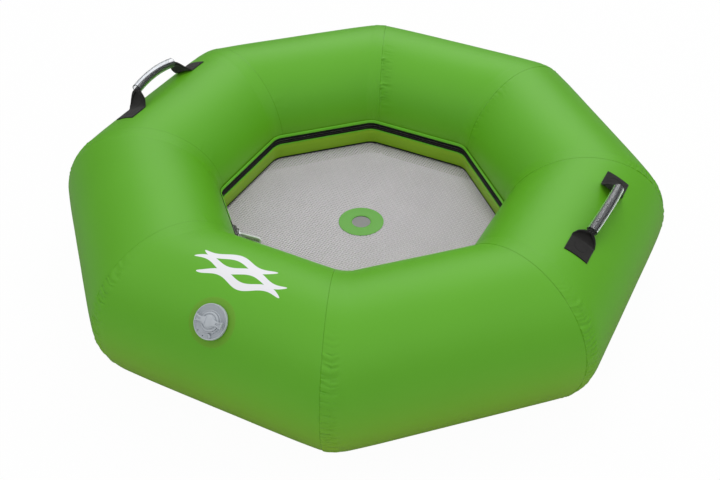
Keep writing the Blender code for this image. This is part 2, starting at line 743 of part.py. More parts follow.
def rise_sections(sign, rise, pose):
    """The strap from its tab's inner end, where it lies flat, up to the grip's end, where it is folded narrow."""
    arc_radius, centre = grip_arc(rise)
    end_angle = asin(grip_end_place / arc_radius) + (folded_overhang + touch_gap) / arc_radius
    top = pose @ Vector((0, sign * arc_radius * sin(end_angle), centre + arc_radius * cos(end_angle)))
    top_run = pose.to_3x3() @ Vector((0, sign * cos(end_angle), -sin(end_angle)))
    top_across = pose.to_3x3() @ Vector((1, 0, 0))
    foot_lift = touch_gap + webbing_wall / 2 + rise_start_lift
    foot = Vector((0, sign * (tab_inner_place - touch_gap), foot_lift))
    reach = (top - foot).length / 2
    foot_control = foot - Vector((0, sign * reach, 0))
    top_control = top + top_run * reach / 2
    droop = tube_radius - tube_radius * cos(webbing_width / 2 / tube_radius)
    sections = []
    for i in range(rise_rings + 1):
        t = i / rise_rings
        place = (foot * (1 - t) ** 3 + 3 * foot_control * t * (1 - t) ** 2
                 + 3 * top_control * t * t * (1 - t) + top * t ** 3)
        run = (3 * (foot_control - foot) * (1 - t) ** 2 + 6 * (top_control - foot_control) * t * (1 - t)
               + 3 * (top - top_control) * t * t)
        share = t * t * (3 - 2 * t)
        across = Vector((1, 0, 0)).lerp(top_across, share)
        up = run.cross(across).normalized() * sign
        across = up.cross(run).normalized() * sign
        width = webbing_width + (folded_width - webbing_width) * share
        wall = webbing_wall + (folded_wall - webbing_wall) * share
        sections.append(strap_section(place, across, up, width, wall, droop * (1 - share)))
    return sections


panels = make_cover()
air_cell = make_air_cell()
make_zip()
make_slider()
make_floor()
make_valve(panels["front"], air_cell)
make_cap()
make_handle("right", 0, right_handle_place, right_grip_rise, right_grip_shift, right_grip_lean, right_grip_tilt)
make_handle("left", 180, 0, left_grip_rise, 0, 0, 0)
for part in parts.objects:
    if part.name.startswith(("valve", "cap", "stem", "drain", "grip_right", "grip_left")):
        part.data.shade_smooth()
        part.data.set_sharp_from_angle(angle=radians(30))
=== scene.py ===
"""River tube: the dressed model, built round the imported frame. Metres, +Z up, the valve's side faces -Y."""

import bmesh
import bpy
import numpy as np
from math import asin, ceil, cos, hypot, pi, radians, sin, sqrt, tan
from mathutils import Matrix, Vector
from mathutils.bvhtree import BVHTree


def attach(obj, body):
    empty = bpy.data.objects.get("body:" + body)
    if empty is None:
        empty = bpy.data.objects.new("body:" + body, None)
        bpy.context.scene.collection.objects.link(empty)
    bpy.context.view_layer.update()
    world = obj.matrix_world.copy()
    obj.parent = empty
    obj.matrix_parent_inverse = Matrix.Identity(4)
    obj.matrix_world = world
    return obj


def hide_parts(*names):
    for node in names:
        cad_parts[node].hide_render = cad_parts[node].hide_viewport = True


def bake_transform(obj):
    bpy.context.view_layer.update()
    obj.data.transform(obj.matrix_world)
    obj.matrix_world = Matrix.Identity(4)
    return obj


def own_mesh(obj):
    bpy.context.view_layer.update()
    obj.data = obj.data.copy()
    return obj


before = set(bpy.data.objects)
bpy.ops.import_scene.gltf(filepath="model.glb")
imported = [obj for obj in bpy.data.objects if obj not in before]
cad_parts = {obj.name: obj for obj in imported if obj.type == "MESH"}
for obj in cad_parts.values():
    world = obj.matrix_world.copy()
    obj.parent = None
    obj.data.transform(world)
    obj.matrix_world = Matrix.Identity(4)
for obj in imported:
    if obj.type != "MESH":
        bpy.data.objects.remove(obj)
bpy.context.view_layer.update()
scene = bpy.context.scene
scene.view_settings.view_transform = "Standard"


# The view: a camera up and to the right of the valve's side, at the photograph's angle and lens.
camera_place = (0.8532, -1.6519, 1.5666)
camera_azimuth, camera_elevation = radians(27.310), radians(37.065)
camera_lens, camera_sensor = 53.120, 36.0
camera_shift = (-0.00177, -0.05365)


def aim(thing, place, back):
    """Puts a camera or a lamp in its place, with its back along a way."""
    thing.location, thing.rotation_mode = place, "QUATERNION"
    thing.rotation_quaternion = Vector(back).to_track_quat("Z", "Y")
    scene.collection.objects.link(thing)


camera = bpy.data.objects.new("camera", bpy.data.cameras.new("camera"))
camera.data.lens, camera.data.sensor_width = camera_lens, camera_sensor
camera.data.shift_x, camera.data.shift_y = camera_shift
aim(camera, camera_place, (sin(camera_azimuth) * cos(camera_elevation), -cos(camera_azimuth) * cos(camera_elevation),
                           sin(camera_elevation)))
scene.camera = camera


# The floor and the room: a white sweep that keeps a faint shadow, even light from all round and one wide
# lamp overhead. Camera and glass see the sweep's own white. Gloss sees a bright sky with a softbox low at the
# back, above a dim horizon and floor.
class Wire:
    """What a node puts out; plain signs between two of them, or one and a number, add Math nodes."""

    def __init__(self, socket):
        self.socket, self.tree = socket, socket.id_data

    def calc(self, operation, *others):
        return add_node(self.tree, "ShaderNodeMath", dict(enumerate((self, *others))), operation=operation)

    def __add__(self, other):
        return self.calc("ADD", other)

    def __sub__(self, other):
        return self.calc("SUBTRACT", other)

    def __mul__(self, other):
        return self.calc("MULTIPLY", other)

    def __truediv__(self, other):
        return self.calc("DIVIDE", other)

    def __rsub__(self, other):
        return self * -1 + other

    def __rtruediv__(self, other):
        return self.calc("POWER", -1) * other

    def __abs__(self):
        return self.calc("ABSOLUTE")

    __radd__ = __add__
    __rmul__ = __mul__


def fill(node, inputs):
    """Feeds a node's inputs: links what another node puts out, or each of a list of such, or sets a plain value."""
    for key, value in inputs.items():
        for each in value if isinstance(value, list) else [value]:
            if isinstance(each, Wire):
                each.tree.links.new(each.socket, node.inputs[key])
            else:
                node.inputs[key].default_value = each


def add_node(tree, kind, inputs=None, out=0, **settings):
    """A node with its settings made and its inputs fed; gives what it puts out, or a list where several are asked."""
    node = tree.nodes.new(kind)
    for key, value in settings.items():
        setattr(node, key, value)
    fill(node, inputs or {})
    return [Wire(node.outputs[name]) for name in out] if isinstance(out, tuple) else Wire(node.outputs[out])


def ease(value, low, high, start=0.0, end=1.0):
    """Goes smoothly from start to end while the value goes from low to high."""
    return add_node(value.tree, "ShaderNodeMapRange", {
        "Value": value, "From Min": low, "From Max": high, "To Min": start, "To Max": end},
        interpolation_type="SMOOTHSTEP")


def split(vector):
    """The three numbers of a vector."""
    return add_node(vector.tree, "ShaderNodeSeparateXYZ", {0: vector}, ("X", "Y", "Z"))


def ray_masks(tree):
    """One for camera and glass rays, nought for soft light and for gloss; then one for gloss alone."""
    rays = add_node(tree, "ShaderNodeLightPath", out=("Is Camera Ray", "Is Transmission Ray", "Is Glossy Ray"))
    return rays[0].calc("MAXIMUM", rays[1]), rays[2]


def keep_mesh(name, shape):
    """Keeps a bmesh as a mesh."""
    mesh = bpy.data.meshes.new(name)
    shape.to_mesh(mesh)
    shape.free()
    return mesh


def paint(piece, material):
    """Gives a piece this one material."""
    piece.data.materials.clear()
    piece.data.materials.append(material)
    piece.data.polygons.foreach_set("material_index", [0] * len(piece.data.polygons))
    return piece


def add_piece(name, mesh, material):
    """Links a mesh as a piece in one material."""
    piece = bpy.data.objects.new(name, mesh)
    scene.collection.objects.link(piece)
    return paint(piece, material)


floor_radius, floor_drop = 9.0, 0.0006
floor_white, gloss_floor, soft_light = 0.88, 0.30, 0.845
gloss_low, gloss_high, gloss_rise = 0.05, 0.85, (0.33, 0.78)
back_glow, back_glow_way, back_glow_spread = 1.35, (-0.270, 0.740, 0.616), (0.85, 0.99)
shade_start, shade_end, shade_glow, glow_share = 0.34, 0.51, 0.14, 0.97
lamp_watts, lamp_size, lamp_place, lamp_target = 15.0, 1.25, (0.3, 0.7, 2.7), (0.0, 0.0, 0.2)

world = bpy.data.worlds.new("room")
scene.world = world
world.use_nodes = True
tree = world.node_tree
seen, in_gloss = ray_masks(tree)
facing = add_node(tree, "ShaderNodeTexCoord", out="Generated")
to_glow = add_node(tree, "ShaderNodeVectorMath", {0: facing, 1: back_glow_way}, "Value", operation="DOT_PRODUCT")
gloss_light = ease(split(facing)[2], *gloss_rise, gloss_low, gloss_high) + ease(
    to_glow, *back_glow_spread, 0.0, back_glow)
fill(tree.nodes["Background"], {
    "Color": (1, 1, 1, 1), "Strength": seen * (1 - soft_light) - in_gloss * (soft_light - gloss_light) + soft_light})

sweep_material = bpy.data.materials.new("sweep")
sweep_material.use_nodes = True
tree = sweep_material.node_tree
tree.nodes.clear()
seen, in_gloss = ray_masks(tree)
from_middle = add_node(tree, "ShaderNodeVectorMath", {0: add_node(tree, "ShaderNodeTexCoord", out="Object")}, "Value",
                       operation="LENGTH")
glow = seen * ease(from_middle, shade_start, shade_end, shade_glow, glow_share)
paper = add_node(tree, "ShaderNodeBsdfDiffuse", {"Color": floor_white - in_gloss * (floor_white - gloss_floor)})
shine = add_node(tree, "ShaderNodeEmission", {"Color": (1, 1, 1, 1), "Strength": 1.0})
mixed = add_node(tree, "ShaderNodeMixShader", {0: glow, 1: paper, 2: shine})
add_node(tree, "ShaderNodeOutputMaterial", {"Surface": mixed}, ())

shape = bmesh.new()
bmesh.ops.create_circle(shape, cap_ends=True, segments=96, radius=floor_radius,
                        matrix=Matrix.Translation((0, 0, -floor_drop)))
sweep = add_piece("sweep", keep_mesh("sweep", shape), sweep_material)

lamp = bpy.data.objects.new("softbox", bpy.data.lights.new("softbox", "AREA"))
lamp.data.energy, lamp.data.size = lamp_watts, lamp_size
lamp.visible_glossy = False
aim(lamp, lamp_place, Vector(lamp_place) - Vector(lamp_target))


# The cover: eight mitred panels of polyester cloth coated in green vinyl. Each is welded over its neighbour's
# edge in a lap 35 mm wide, and the outer side of this lap is puckered.
ring_apothem, tube_radius, skin_wall = 0.450, 0.160, 0.0010
half_side = pi / 8
slit_angle = radians(4.5)
lap_fade, side_fade = (-0.0002, 0.0006), (0.009, 0.0165)
outer_from, outer_to, inner_from, inner_to = (-105, -75), (35, 75), (95, 125), (150, 172)
fold_length, fold_rest, fold_power, fold_seed, crease_steep = 0.07, 0.45, 0.75, (5.3, 9.1), 5
streak_pitch, streak_length, streak_slant = 0.0115, 0.05, 0.6
streak_from, streak_to, streak_rest = (-0.003, 0.004), (0.030, 0.048), 0.6
slack_along, slack_round, slack_fade, bulge_limit = 0.13, 0.17, 0.05, 0.0006
line_offset, line_fade = 0.0007, (0.0003, 0.0012)
seam_dip, seam_dips = 0.0020, {-22.5: 0.0}
inner_pucker, inner_puckers = 0.0006, {"rear_right": 0.0024, "rear": 0.0052}
# The second green is painted warm bounce light from the floor, laid over the cloth towards the ground.
skin_green, floor_bounce_green = (0.108, 0.400, 0.009), (0.215, 0.375, 0.014)
thread_pitch, thread_relief, patch_relief = 0.0009, 0.00004, 8
bounce_tint_from, bounce_tint_to, bounce_tint_share = 0.24, 0.04, 0.85
seam_shade_share, line_shine, seam_shade_tint, patch_and_shade_share, vinyl_uneven = 0.4, 0.24, 0.5, 0.5, 0.5


def start_group(name, inputs, outputs):
    """A node group with named inputs and outputs, and a table of what its inputs give."""
    tree = bpy.data.node_groups.new(name, "GeometryNodeTree" if "Geometry" in outputs else "ShaderNodeTree")
    for label, kind in outputs.items():
        tree.interface.new_socket(label, in_out="OUTPUT", socket_type="NodeSocket" + kind)
    for label, value in inputs.items():
        kind = {int: "Int", float: "Float", type(None): "Material"}.get(type(value)) or (
            "Color" if len(value) == 4 else "Vector")
        socket = tree.interface.new_socket(label, in_out="INPUT", socket_type="NodeSocket" + kind)
        if value is not None:
            socket.default_value = value
    return tree, dict(zip(inputs, add_node(tree, "NodeGroupInput", out=tuple(inputs))))


def end_tree(tree, geometry, material):
    """Realises what the tree made, one or a list, gives it its material and puts it out."""
    if isinstance(geometry, list):
        geometry = add_node(tree, "GeometryNodeJoinGeometry", {0: geometry})
    whole = add_node(tree, "GeometryNodeRealizeInstances", {"Geometry": geometry})
    painted = add_node(tree, "GeometryNodeSetMaterial", {"Geometry": whole, "Material": material})
    add_node(tree, "NodeGroupOutput", {"Geometry": painted}, ())
    return tree


def finish_piece(piece, kind=None, **settings):
    """Puts a last modifier on a piece, if one is named, and keeps the result as a plain mesh."""
    if kind:
        extra = piece.modifiers.new(kind.lower(), kind)
        for key, value in settings.items():
            setattr(extra, key, value)
    graph = bpy.context.evaluated_depsgraph_get()
    mesh = bpy.data.meshes.new_from_object(piece.evaluated_get(graph), preserve_all_data_layers=True, depsgraph=graph)
    piece.modifiers.clear()
    piece.data = mesh
    mesh.name = piece.name
    return piece


def grow(name, tree, given, kind=None, **settings):
    """Runs a tree with the given inputs, then a last modifier if one is named."""
    piece = add_piece(name, bpy.data.meshes.new(name), given["Material"])
    modifier = piece.modifiers.new("tree", "NODES")
    modifier.node_group = tree
    for socket in tree.interface.items_tree:
        if socket.in_out == "INPUT" and socket.name in given:
            modifier[socket.identifier] = given[socket.name]
    return paint(finish_piece(piece, kind, **settings), given["Material"])


def settle(piece, body, slot, *nodes):
    """The piece rides on a body and stands for these nodes of the frame; its slot is not used."""
    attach(piece, body)
    if nodes:
        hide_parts(*nodes)
    return piece


def vector_of(tree, x, y, z):
    return add_node(tree, "ShaderNodeCombineXYZ", {"X": x, "Y": y, "Z": z})


def noise_at(vector, seed=(0, 0, 0)):
    """Smooth noise about nought at a vector, moved on by a seed."""
    moved = add_node(vector.tree, "ShaderNodeVectorMath", {0: vector, 1: seed}, operation="ADD")
    return add_node(vector.tree, "ShaderNodeTexNoise", {
        "Vector": moved, "Scale": 1.0, "Detail": 1.0, "Roughness": 0.5}) - 0.5


def cover_tree():
    """One side's panel, from one seam to the next and round the tube from one lip of the zip to the other."""
    tree, given = start_group("cover_panel", {
        "Rows along": 76, "Rows round": 440, "Band share": 0.36, "Line share": 0.72, "Side angle": 0.0,
        "Apothem": ring_apothem, "Tube radius": tube_radius, "Half slit": slit_angle, "First dip": seam_dip,
        "Last dip": seam_dip, "Dip reach": 0.060, "Outer bend": 0.034, "Inner bend": 0.015, "Lap width": 0.0175,
        "Lap lift": 0.0006, "Pucker depth": 0.0034, "Pucker pitch": 0.0105, "Inner pucker depth": 0.0007,
        "Slack": 0.0009, "Inset": 0.0009, "Seed": 0.0, "Material": None}, {"Geometry": "Geometry"})
    side_angle, radius, lap_width, band_share, line_share = (given[name] for name in (
        "Side angle", "Tube radius", "Lap width", "Band share", "Line share"))
    grid = add_node(tree, "GeometryNodeMeshGrid", {
        "Size X": 2.0, "Size Y": 2.0, "Vertices X": given["Rows along"], "Vertices Y": given["Rows round"]})
    x, y, _ = split(add_node(tree, "GeometryNodeInputPosition"))
    turn, row = y * (pi - given["Half slit"]), (1 - x) / 2
    cosine, sine = turn.calc("COSINE"), turn.calc("SINE")
    half = (given["Apothem"] + radius * cosine) * tan(half_side)
    to_line = (row / band_share / line_share).calc("MINIMUM", 1)
    past_line = (row / band_share).calc("MINIMUM", 1) / line_share - to_line
    band = lap_width * (to_line * to_line * (3 - 2 * to_line) + past_line * past_line * 3)
    past_end = 1 / line_share - 1
    band_end = lap_width * (1 + past_end * past_end * 3)
    onward = ((row - band_share) / (1 - band_share)).calc("MAXIMUM", 0)
    in_band = row.calc("LESS_THAN", band_share)
    last_seam = band * in_band + (band_end + (half * 2 - band_end) * (onward * (pi / 2)).calc("SINE")) * (1 - in_band)
    first_seam, along = half * 2 - last_seam, 1 - last_seam / half
    seam = first_seam.calc("MINIMUM", last_seam)
    arc = turn * radius

    outside = (cosine + 1) / 2
    bend = given["Inner bend"] + (given["Outer bend"] - given["Inner bend"]) * outside
    short = (bend - seam).calc("MAXIMUM", 0)
    dip = short * short / bend * cosine * (tan(half_side) / 2)
    for distance, depth in ((first_seam, "First dip"), (last_seam, "Last dip")):
        near = distance / given["Dip reach"]
        dip = dip + (near * near * -1).calc("EXPONENT") * outside * given[depth]
    lap = ease(last_seam, *(lap_width + share for share in lap_fade), 1, 0)
    after = ease(first_seam, *side_fade, 1, 0)

    def between(angle, rise, fall):
        return ease(angle, *map(radians, rise)) * ease(angle, *map(radians, fall), 1, 0)

    folds = 0
    for way, distance, share in ((-1, last_seam, lap), (1, first_seam, after)):
        seam_angle = side_angle - half_side * way
        third = seam_angle.calc("COSINE") * fold_seed[0] + seam_angle.calc("SINE") * fold_seed[1]
        wave = noise_at(vector_of(tree, arc / given["Pucker pitch"], distance * (way / fold_length), third))
        folds = ((abs(wave) * crease_steep).calc("MINIMUM", 1).calc("POWER", fold_power) - fold_rest) * share + folds
    streak = noise_at(vector_of(tree, (arc + last_seam * streak_slant) / streak_pitch, last_seam / streak_length, 3.0),
                      vector_of(tree, given["Seed"], 0, side_angle))
    inner_folds = ease(last_seam, *(lap_width + share for share in streak_from)) * ease(
        last_seam, *streak_to, 1, 0) * between(abs(turn), inner_from, inner_to) * (
        (abs(streak) * crease_steep).calc("MINIMUM", 1) - streak_rest) * given["Inner pucker depth"]
    slack = noise_at(vector_of(tree, along * half / slack_along, arc / slack_round, side_angle),
                     vector_of(tree, 0, given["Seed"], 7.0)) * ease(seam, 0.0, slack_fade)
    reach = (radius - given["Inset"] + (lap + after) * given["Lap lift"] + inner_folds
             + folds * between(turn, outer_from, outer_to) * given["Pucker depth"] + slack * given["Slack"]).calc(
        "MINIMUM", radius + bulge_limit) - dip

    out = given["Apothem"] + reach * cosine
    run = along * out * tan(half_side)
    facing, across = side_angle.calc("COSINE"), side_angle.calc("SINE")
    place = vector_of(tree, out * facing - run * across, out * across + run * facing, radius + reach * sine)
    line = ease(abs(last_seam - lap_width - line_offset), *line_fade, 1, 0)
    charted = add_node(tree, "GeometryNodeStoreNamedAttribute", {
        "Geometry": grid, "Name": "UVMap", "Value": vector_of(tree, along * half, arc, 0.0)},
        data_type="FLOAT2", domain="CORNER")
    marked = add_node(tree, "GeometryNodeStoreNamedAttribute", {
        "Geometry": charted, "Name": "seam_line", "Value": line}, data_type="FLOAT", domain="POINT")
    moved = add_node(tree, "GeometryNodeSetPosition", {"Geometry": marked, "Position": place})
    return end_tree(tree, add_node(tree, "GeometryNodeSetShadeSmooth", {"Geometry": moved}), given["Material"])


def weave_tree():
    """Plain weave: threads that pass over and under, as a height from nought to one."""
    tree, given = start_group("weave", {
        "Chart": (0.0, 0.0, 0.0), "Pitch along": 0.001, "Pitch across": 0.001}, {"Height": "Float"})
    x, y, _ = split(given["Chart"])
    warp, weft = x / given["Pitch along"], y / given["Pitch across"]
    warp_round, weft_round = (abs((thread * pi).calc("SINE")) for thread in (warp, weft))
    over = ((warp.calc("FLOOR") + weft.calc("FLOOR")) / 2).calc("FRACT") * 2
    add_node(tree, "NodeGroupOutput", {"Height": warp_round * (weft_round * 0.5 + 0.5) * over
                                       + weft_round * (warp_round * 0.5 + 0.5) * (1 - over)}, ())
    return tree


def mottle_tree():
    """Uneven colour and shine: broad soft patches and fine specks."""
    tree, given = start_group("mottle", {
        "Colour": (1.0, 1.0, 1.0, 1.0), "Place": (0.0, 0.0, 0.0), "Broad scale": 6.0, "Broad share": 0.1,
        "Fine scale": 400.0, "Fine share": 0.1}, {"Colour": "Color", "Amount": "Float"})
    broad, fine = (add_node(tree, "ShaderNodeTexNoise", {
        "Vector": given["Place"], "Scale": given[size + " scale"], "Detail": detail}) - 0.5
        for size, detail in (("Broad", 2.0), ("Fine", 3.0)))
    amount = broad * given["Broad share"] + fine * given["Fine share"]
    tinted = add_node(tree, "ShaderNodeHueSaturation", {
        "Color": given["Colour"], "Value": amount + 1, "Saturation": 1.0, "Hue": 0.5, "Fac": 1.0})
    add_node(tree, "NodeGroupOutput", {"Colour": tinted, "Amount": amount}, ())
    return tree


weave_group, mottle_group = weave_tree(), mottle_tree()


def start_material(name, colour, roughness, patches, plain=None):
    """A Principled material with its plain sockets set; gives it, its tree, its shader and its Object place, then
    its mottled colour and how far the mottle goes. Patches are the broad scale and share, then the fine ones."""
    material = bpy.data.materials.new(name)
    material.use_nodes = True
    tree = material.node_tree
    shader = tree.nodes["Principled BSDF"]
    fill(shader, {"Roughness": roughness, **(plain or {})})
    place = add_node(tree, "ShaderNodeTexCoord", out="Object")
    mottle = dict(zip(("Broad scale", "Broad share", "Fine scale", "Fine share"), patches))
    mottled = add_node(tree, "ShaderNodeGroup", {"Colour": (*colour, 1), "Place": place, **mottle},
                       ("Colour", "Amount"), node_tree=mottle_group)
    return material, tree, shader, place, *mottled


def blend_colour(share, under, over):
    """Mixes a plain colour over a colour from a node by a share that changes over the surface."""
    return add_node(share.tree, "ShaderNodeMix", {"Factor": share, 6: under, 7: (*over, 1)}, 2, data_type="RGBA")


def dress(shader, colour, roughness, height=None, relief=0.0):
    """Feeds a shader its colour and roughness, and a height into its normal."""
    fill(shader, {"Base Color": colour, "Roughness": roughness})
    if height:
        fill(shader, {"Normal": add_node(shader.id_data, "ShaderNodeBump", {
            "Height": height, "Distance": relief, "Strength": 1.0})})


def mottled_material(name, colour, roughness, patches, relief=0.0, uneven=0.0, plain=None):
    """A plain surface: its mottle makes its shine uneven and raises it a little."""
    material, tree, shader, place, shown, amount = start_material(name, colour, roughness, patches, plain)
    dress(shader, shown, amount * uneven + roughness if uneven else roughness, amount if relief else None, relief)
    return material


def vinyl_material(name, colour, roughness, flat=False, printed=None, low_colour=None):
    """Vinyl-coated cloth: threads show faintly through its coat, painted shade darkens the seam lines, and it may be
    printed, or tinted olive near the ground as a painted warm bounce of light from the floor. A flat piece is charted
    from above instead of by its own map."""
    material, tree, shader, place, shown, amount = start_material(
        name, colour, roughness, (5.0, 0.10, 900.0, 0.10), {"Specular IOR Level": 0.45})
    chart = place if flat else add_node(tree, "ShaderNodeUVMap", uv_map="UVMap")
    line = add_node(tree, "ShaderNodeAttribute", out="Fac", attribute_name="seam_line")
    if low_colour:
        # Painted warm bounce light from the floor: the cloth is tinted olive towards the ground.
        shown = blend_colour(ease(split(place)[2], bounce_tint_from, bounce_tint_to, 0.0, bounce_tint_share), shown, low_colour)
    # Painted shade: the seam lines are darkened, for the shade in the groove at the lap's edge.
    shown = blend_colour(line * seam_shade_share, shown, [share * seam_shade_tint for share in colour])
    height = add_node(tree, "ShaderNodeGroup", {
        "Chart": chart, "Pitch along": thread_pitch, "Pitch across": thread_pitch}, node_tree=weave_group)
    if printed:
        patch, patch_and_shade_colour, ink, ink_colour = printed(chart)
        shown = blend_colour(ink, blend_colour(patch * patch_and_shade_share, shown, patch_and_shade_colour), ink_colour)
        height = height + patch * patch_relief
    dress(shader, shown, amount * vinyl_uneven - line * line_shine + roughness, height, thread_relief)
    return material


# The valve's side: three tapering waves are screen-printed in white above the valve, and a round patch is welded
# inside, where the valve goes through. The darker disc painted there is partly the patch's own tone and partly
# painted shade round the valve's flange.
print_middle, print_arc = -0.003, 0.2332
patch_middle, patch_arc, patch_radius, patch_blur = -0.005, 0.1257, 0.0480, 0.0050
patch_and_shade_green, ink_white = (0.150, 0.300, 0.012), (0.82, 0.82, 0.86)
wave_lift, wave_length, wave_lag, wave_half_width, edge_blur = 0.0070, 0.098, 90, 0.0082, 0.0003
wave_rows = ((0.0225, -0.012, 0.076), (0.0, 0.0, 0.098), (-0.0225, 0.010, 0.086))


def wave_print(chart):
    """The patch's mask over the panel's map and its colour, then the ink's."""
    x, y, _ = split(chart)
    inked = 0
    for rise, shift, reach in wave_rows:
        along = x - print_middle - shift
        share = along / reach
        crest = (along * (2 * pi / wave_length) + rise * wave_lag).calc("SINE") * wave_lift + rise
        room = (1 - share * share).calc("MAXIMUM", 0).calc("SQRT") * wave_half_width
        row = ease(room - abs(y - print_arc - crest), -edge_blur, edge_blur) * abs(share).calc("LESS_THAN", 1)
        inked = row.calc("MAXIMUM", inked)
    beside, above = x - patch_middle, y - patch_arc
    # The darker disc is partly the welded patch's tone and partly painted shade round the valve's flange.
    patch = ease((beside * beside + above * above).calc("SQRT"), patch_radius - patch_blur, patch_radius, 1, 0)
    return patch, patch_and_shade_green, inked, ink_white


skin_material = vinyl_material("green_vinyl", skin_green, 0.42, low_colour=floor_bounce_green)
printed_material = vinyl_material("printed_vinyl", skin_green, 0.42, printed=wave_print, low_colour=floor_bounce_green)
panel_tree = cover_tree()
panel_sides = {}
for side, angle in {"front": -90, "front_right": -45, "right": 0, "rear_right": 45,
                    "rear": 90, "rear_left": 135, "left": 180, "front_left": -135}.items():
    panel_sides[side] = {"Side angle": radians(angle), "First dip": seam_dips.get(angle - 22.5, seam_dip),
                         "Last dip": seam_dips.get(angle + 22.5, seam_dip)}
panels = {}
for i, (side, given) in enumerate(panel_sides.items()):
    panels[side] = grow("skin_" + side, panel_tree, {
        **given, "Seed": 11.0 * i, "Material": printed_material if side == "front" else skin_material,
        "Inner pucker depth": inner_puckers.get(side, inner_pucker)}, "SOLIDIFY", thickness=skin_wall, offset=-1.0)
    settle(panels[side], "tube", "cover_skin", "cover_panel_" + side)


# The air cell: a bladder of milky urethane film that fills the cover, welded shut round its inner side. It
# follows the cover's own shape a little way inside it, and only the valve's barrel passes through it.
cell_inset, film_wall = 0.0046, 0.0004

film_material = mottled_material("cell_film", (0.72, 0.74, 0.70), 0.35, (9.0, 0.12, 60.0, 0.12), 0.002)
shape = bmesh.new()
for side, given in panel_sides.items():
    part = grow("cell_part_" + side, panel_tree, {
        **given, "Rows along": 30, "Rows round": 97, "Half slit": 0.0, "Lap lift": 0.0, "Pucker depth": 0.0,
        "Inner pucker depth": 0.0, "Slack": 0.0, "Inset": cell_inset, "Material": film_material})
    shape.from_mesh(part.data)
    bpy.data.objects.remove(part, do_unlink=True)
bmesh.ops.remove_doubles(shape, verts=shape.verts, dist=0.00002)
bmesh.ops.recalc_face_normals(shape, faces=shape.faces)
bladder = add_piece("air_bladder", keep_mesh("air_bladder", shape), film_material)
finish_piece(bladder, "SOLIDIFY", thickness=film_wall, offset=-1.0)
settle(bladder, "tube", "cell_skin", "air_cell")


# The zip round the inner side, where the air cell goes in: two woven black tapes stitched to the cover, moulded
# teeth, and a welded green lip that covers the upper tape's edge but for a notch where the slider is parked.
# The corners of the well are rounded.
well_core, straight_steps, corner_steps = 0.2530, 20, 8
tape_face, tape_wall, slot_half, tape_top, tape_foot = 0.2889, 0.0008, 0.0010, 0.0148, -0.0180
tooth_face, tooth_depth, tooth_foot, tooth_top, tooth_pitch = 0.2861, 0.0025, 0.0008, 0.0045, 0.0032
lip_face, lip_wall, lip_foot, lip_top = 0.2886, 0.0010, 0.0080, 0.0138
notch_rows, tooth_share, gap_shade_tint, cloth_uneven = range(150, 155), 0.62, 0.25, 0.4


def corner(before, here, after, radius, room, steps):
    """The points of a rounded corner, which takes no more than a share of the line on either side."""
    ways = before - here, after - here
    reach = min(radius, *(way.length * room for way in ways))
    if reach <= 0:
        return [here]
    first, last = (here + way.normalized() * reach for way in ways)
    return [first * (1 - t) ** 2 + here * 2 * t * (1 - t) + last * t * t for t in (k / steps for k in range(steps + 1))]


def rounded(points, radius, steps=3):
    """A closed outline with its corners rounded; a corner may carry its own radius as a third number."""
    spots = [Vector(point[:2]) for point in points]
    return [tuple(spot) for i, point in enumerate(points) for spot in corner(
        spots[i - 1], spots[i], spots[(i + 1) % len(spots)], point[2] if len(point) > 2 else radius, 0.45, steps)]


def bent_route(points, radius, steps=5):
    """An open route with its corners bent to a radius."""
    points = [Vector(point) for point in points]
    bends = zip(points, points[1:], points[2:])
    return [points[0], *(spot for bend in bends for spot in corner(*bend, radius, 0.48, steps)), points[-1]]


def shade(mesh, sharp=35):
    """Shades smooth but for edges sharper than this many degrees."""
    mesh.shade_smooth()
    mesh.set_sharp_from_angle(angle=radians(sharp))
    return mesh


def tidy_mesh(mesh, sharp=35):
    """Merges doubled points, turns the faces outwards and shades smooth but for sharp edges."""
    shape = bmesh.new()
    shape.from_mesh(mesh)
    bmesh.ops.remove_doubles(shape, verts=shape.verts, dist=0.000002)
    bmesh.ops.dissolve_degenerate(shape, edges=shape.edges, dist=0.000001)
    bmesh.ops.recalc_face_normals(shape, faces=shape.faces)
    shape.to_mesh(mesh)
    shape.free()
    return shade(mesh, sharp)


def skin_piece(name, loops, material, closed_run=False):
    """A skin through closed loops of points, with its own map in metres. Its ends are closed, or meet."""
    loops = np.asarray([[tuple(point) for point in loop] for loop in loops], float)
    runs, count = loops.shape[:2]
    v, u = (np.concatenate([[0], np.cumsum(np.linalg.norm(np.roll(loops, -1, axis=way) - loops, axis=2).mean(
        axis=1 - way))]) for way in (1, 0))
    faces, chart = [], []
    for i in range(runs if closed_run else runs - 1):
        for j in range(count):
            k, step = (j + 1) % count, ((i + 1) % runs) * count
            faces.append((i * count + j, i * count + k, step + k, step + j))
            chart += [(u[i], v[j]), (u[i], v[j + 1]), (u[i + 1], v[j + 1]), (u[i + 1], v[j])]
    for i in () if closed_run else (0, runs - 1):
        faces.append(tuple(range(i * count, (i + 1) * count)))
        chart += [(u[i], v[j]) for j in range(count)]
    mesh = bpy.data.meshes.new(name)
    mesh.from_pydata(loops.reshape(-1, 3).tolist(), [], faces)
    mesh.uv_layers.new(name="UVMap").data.foreach_set("uv", np.asarray(chart, float).ravel())
    return add_piece(name, tidy_mesh(mesh), material)


def well_rows():
    """Rows round the well: a place on an inner octagon and the way out from it, so that the corners are round."""
    rows = []
    for k in range(8):
        facing = 2 * half_side * k
        out, run = Vector((cos(facing), sin(facing), 0)), Vector((-sin(facing), cos(facing), 0))
        half = well_core * tan(half_side)
        rows += [(out * well_core + run * half * (2 * i / straight_steps - 1), out) for i in range(straight_steps)]
        for i in range(corner_steps):
            turn = facing + 2 * half_side * i / corner_steps
            rows.append((out * well_core + run * half, Vector((cos(turn), sin(turn), 0))))
    return rows


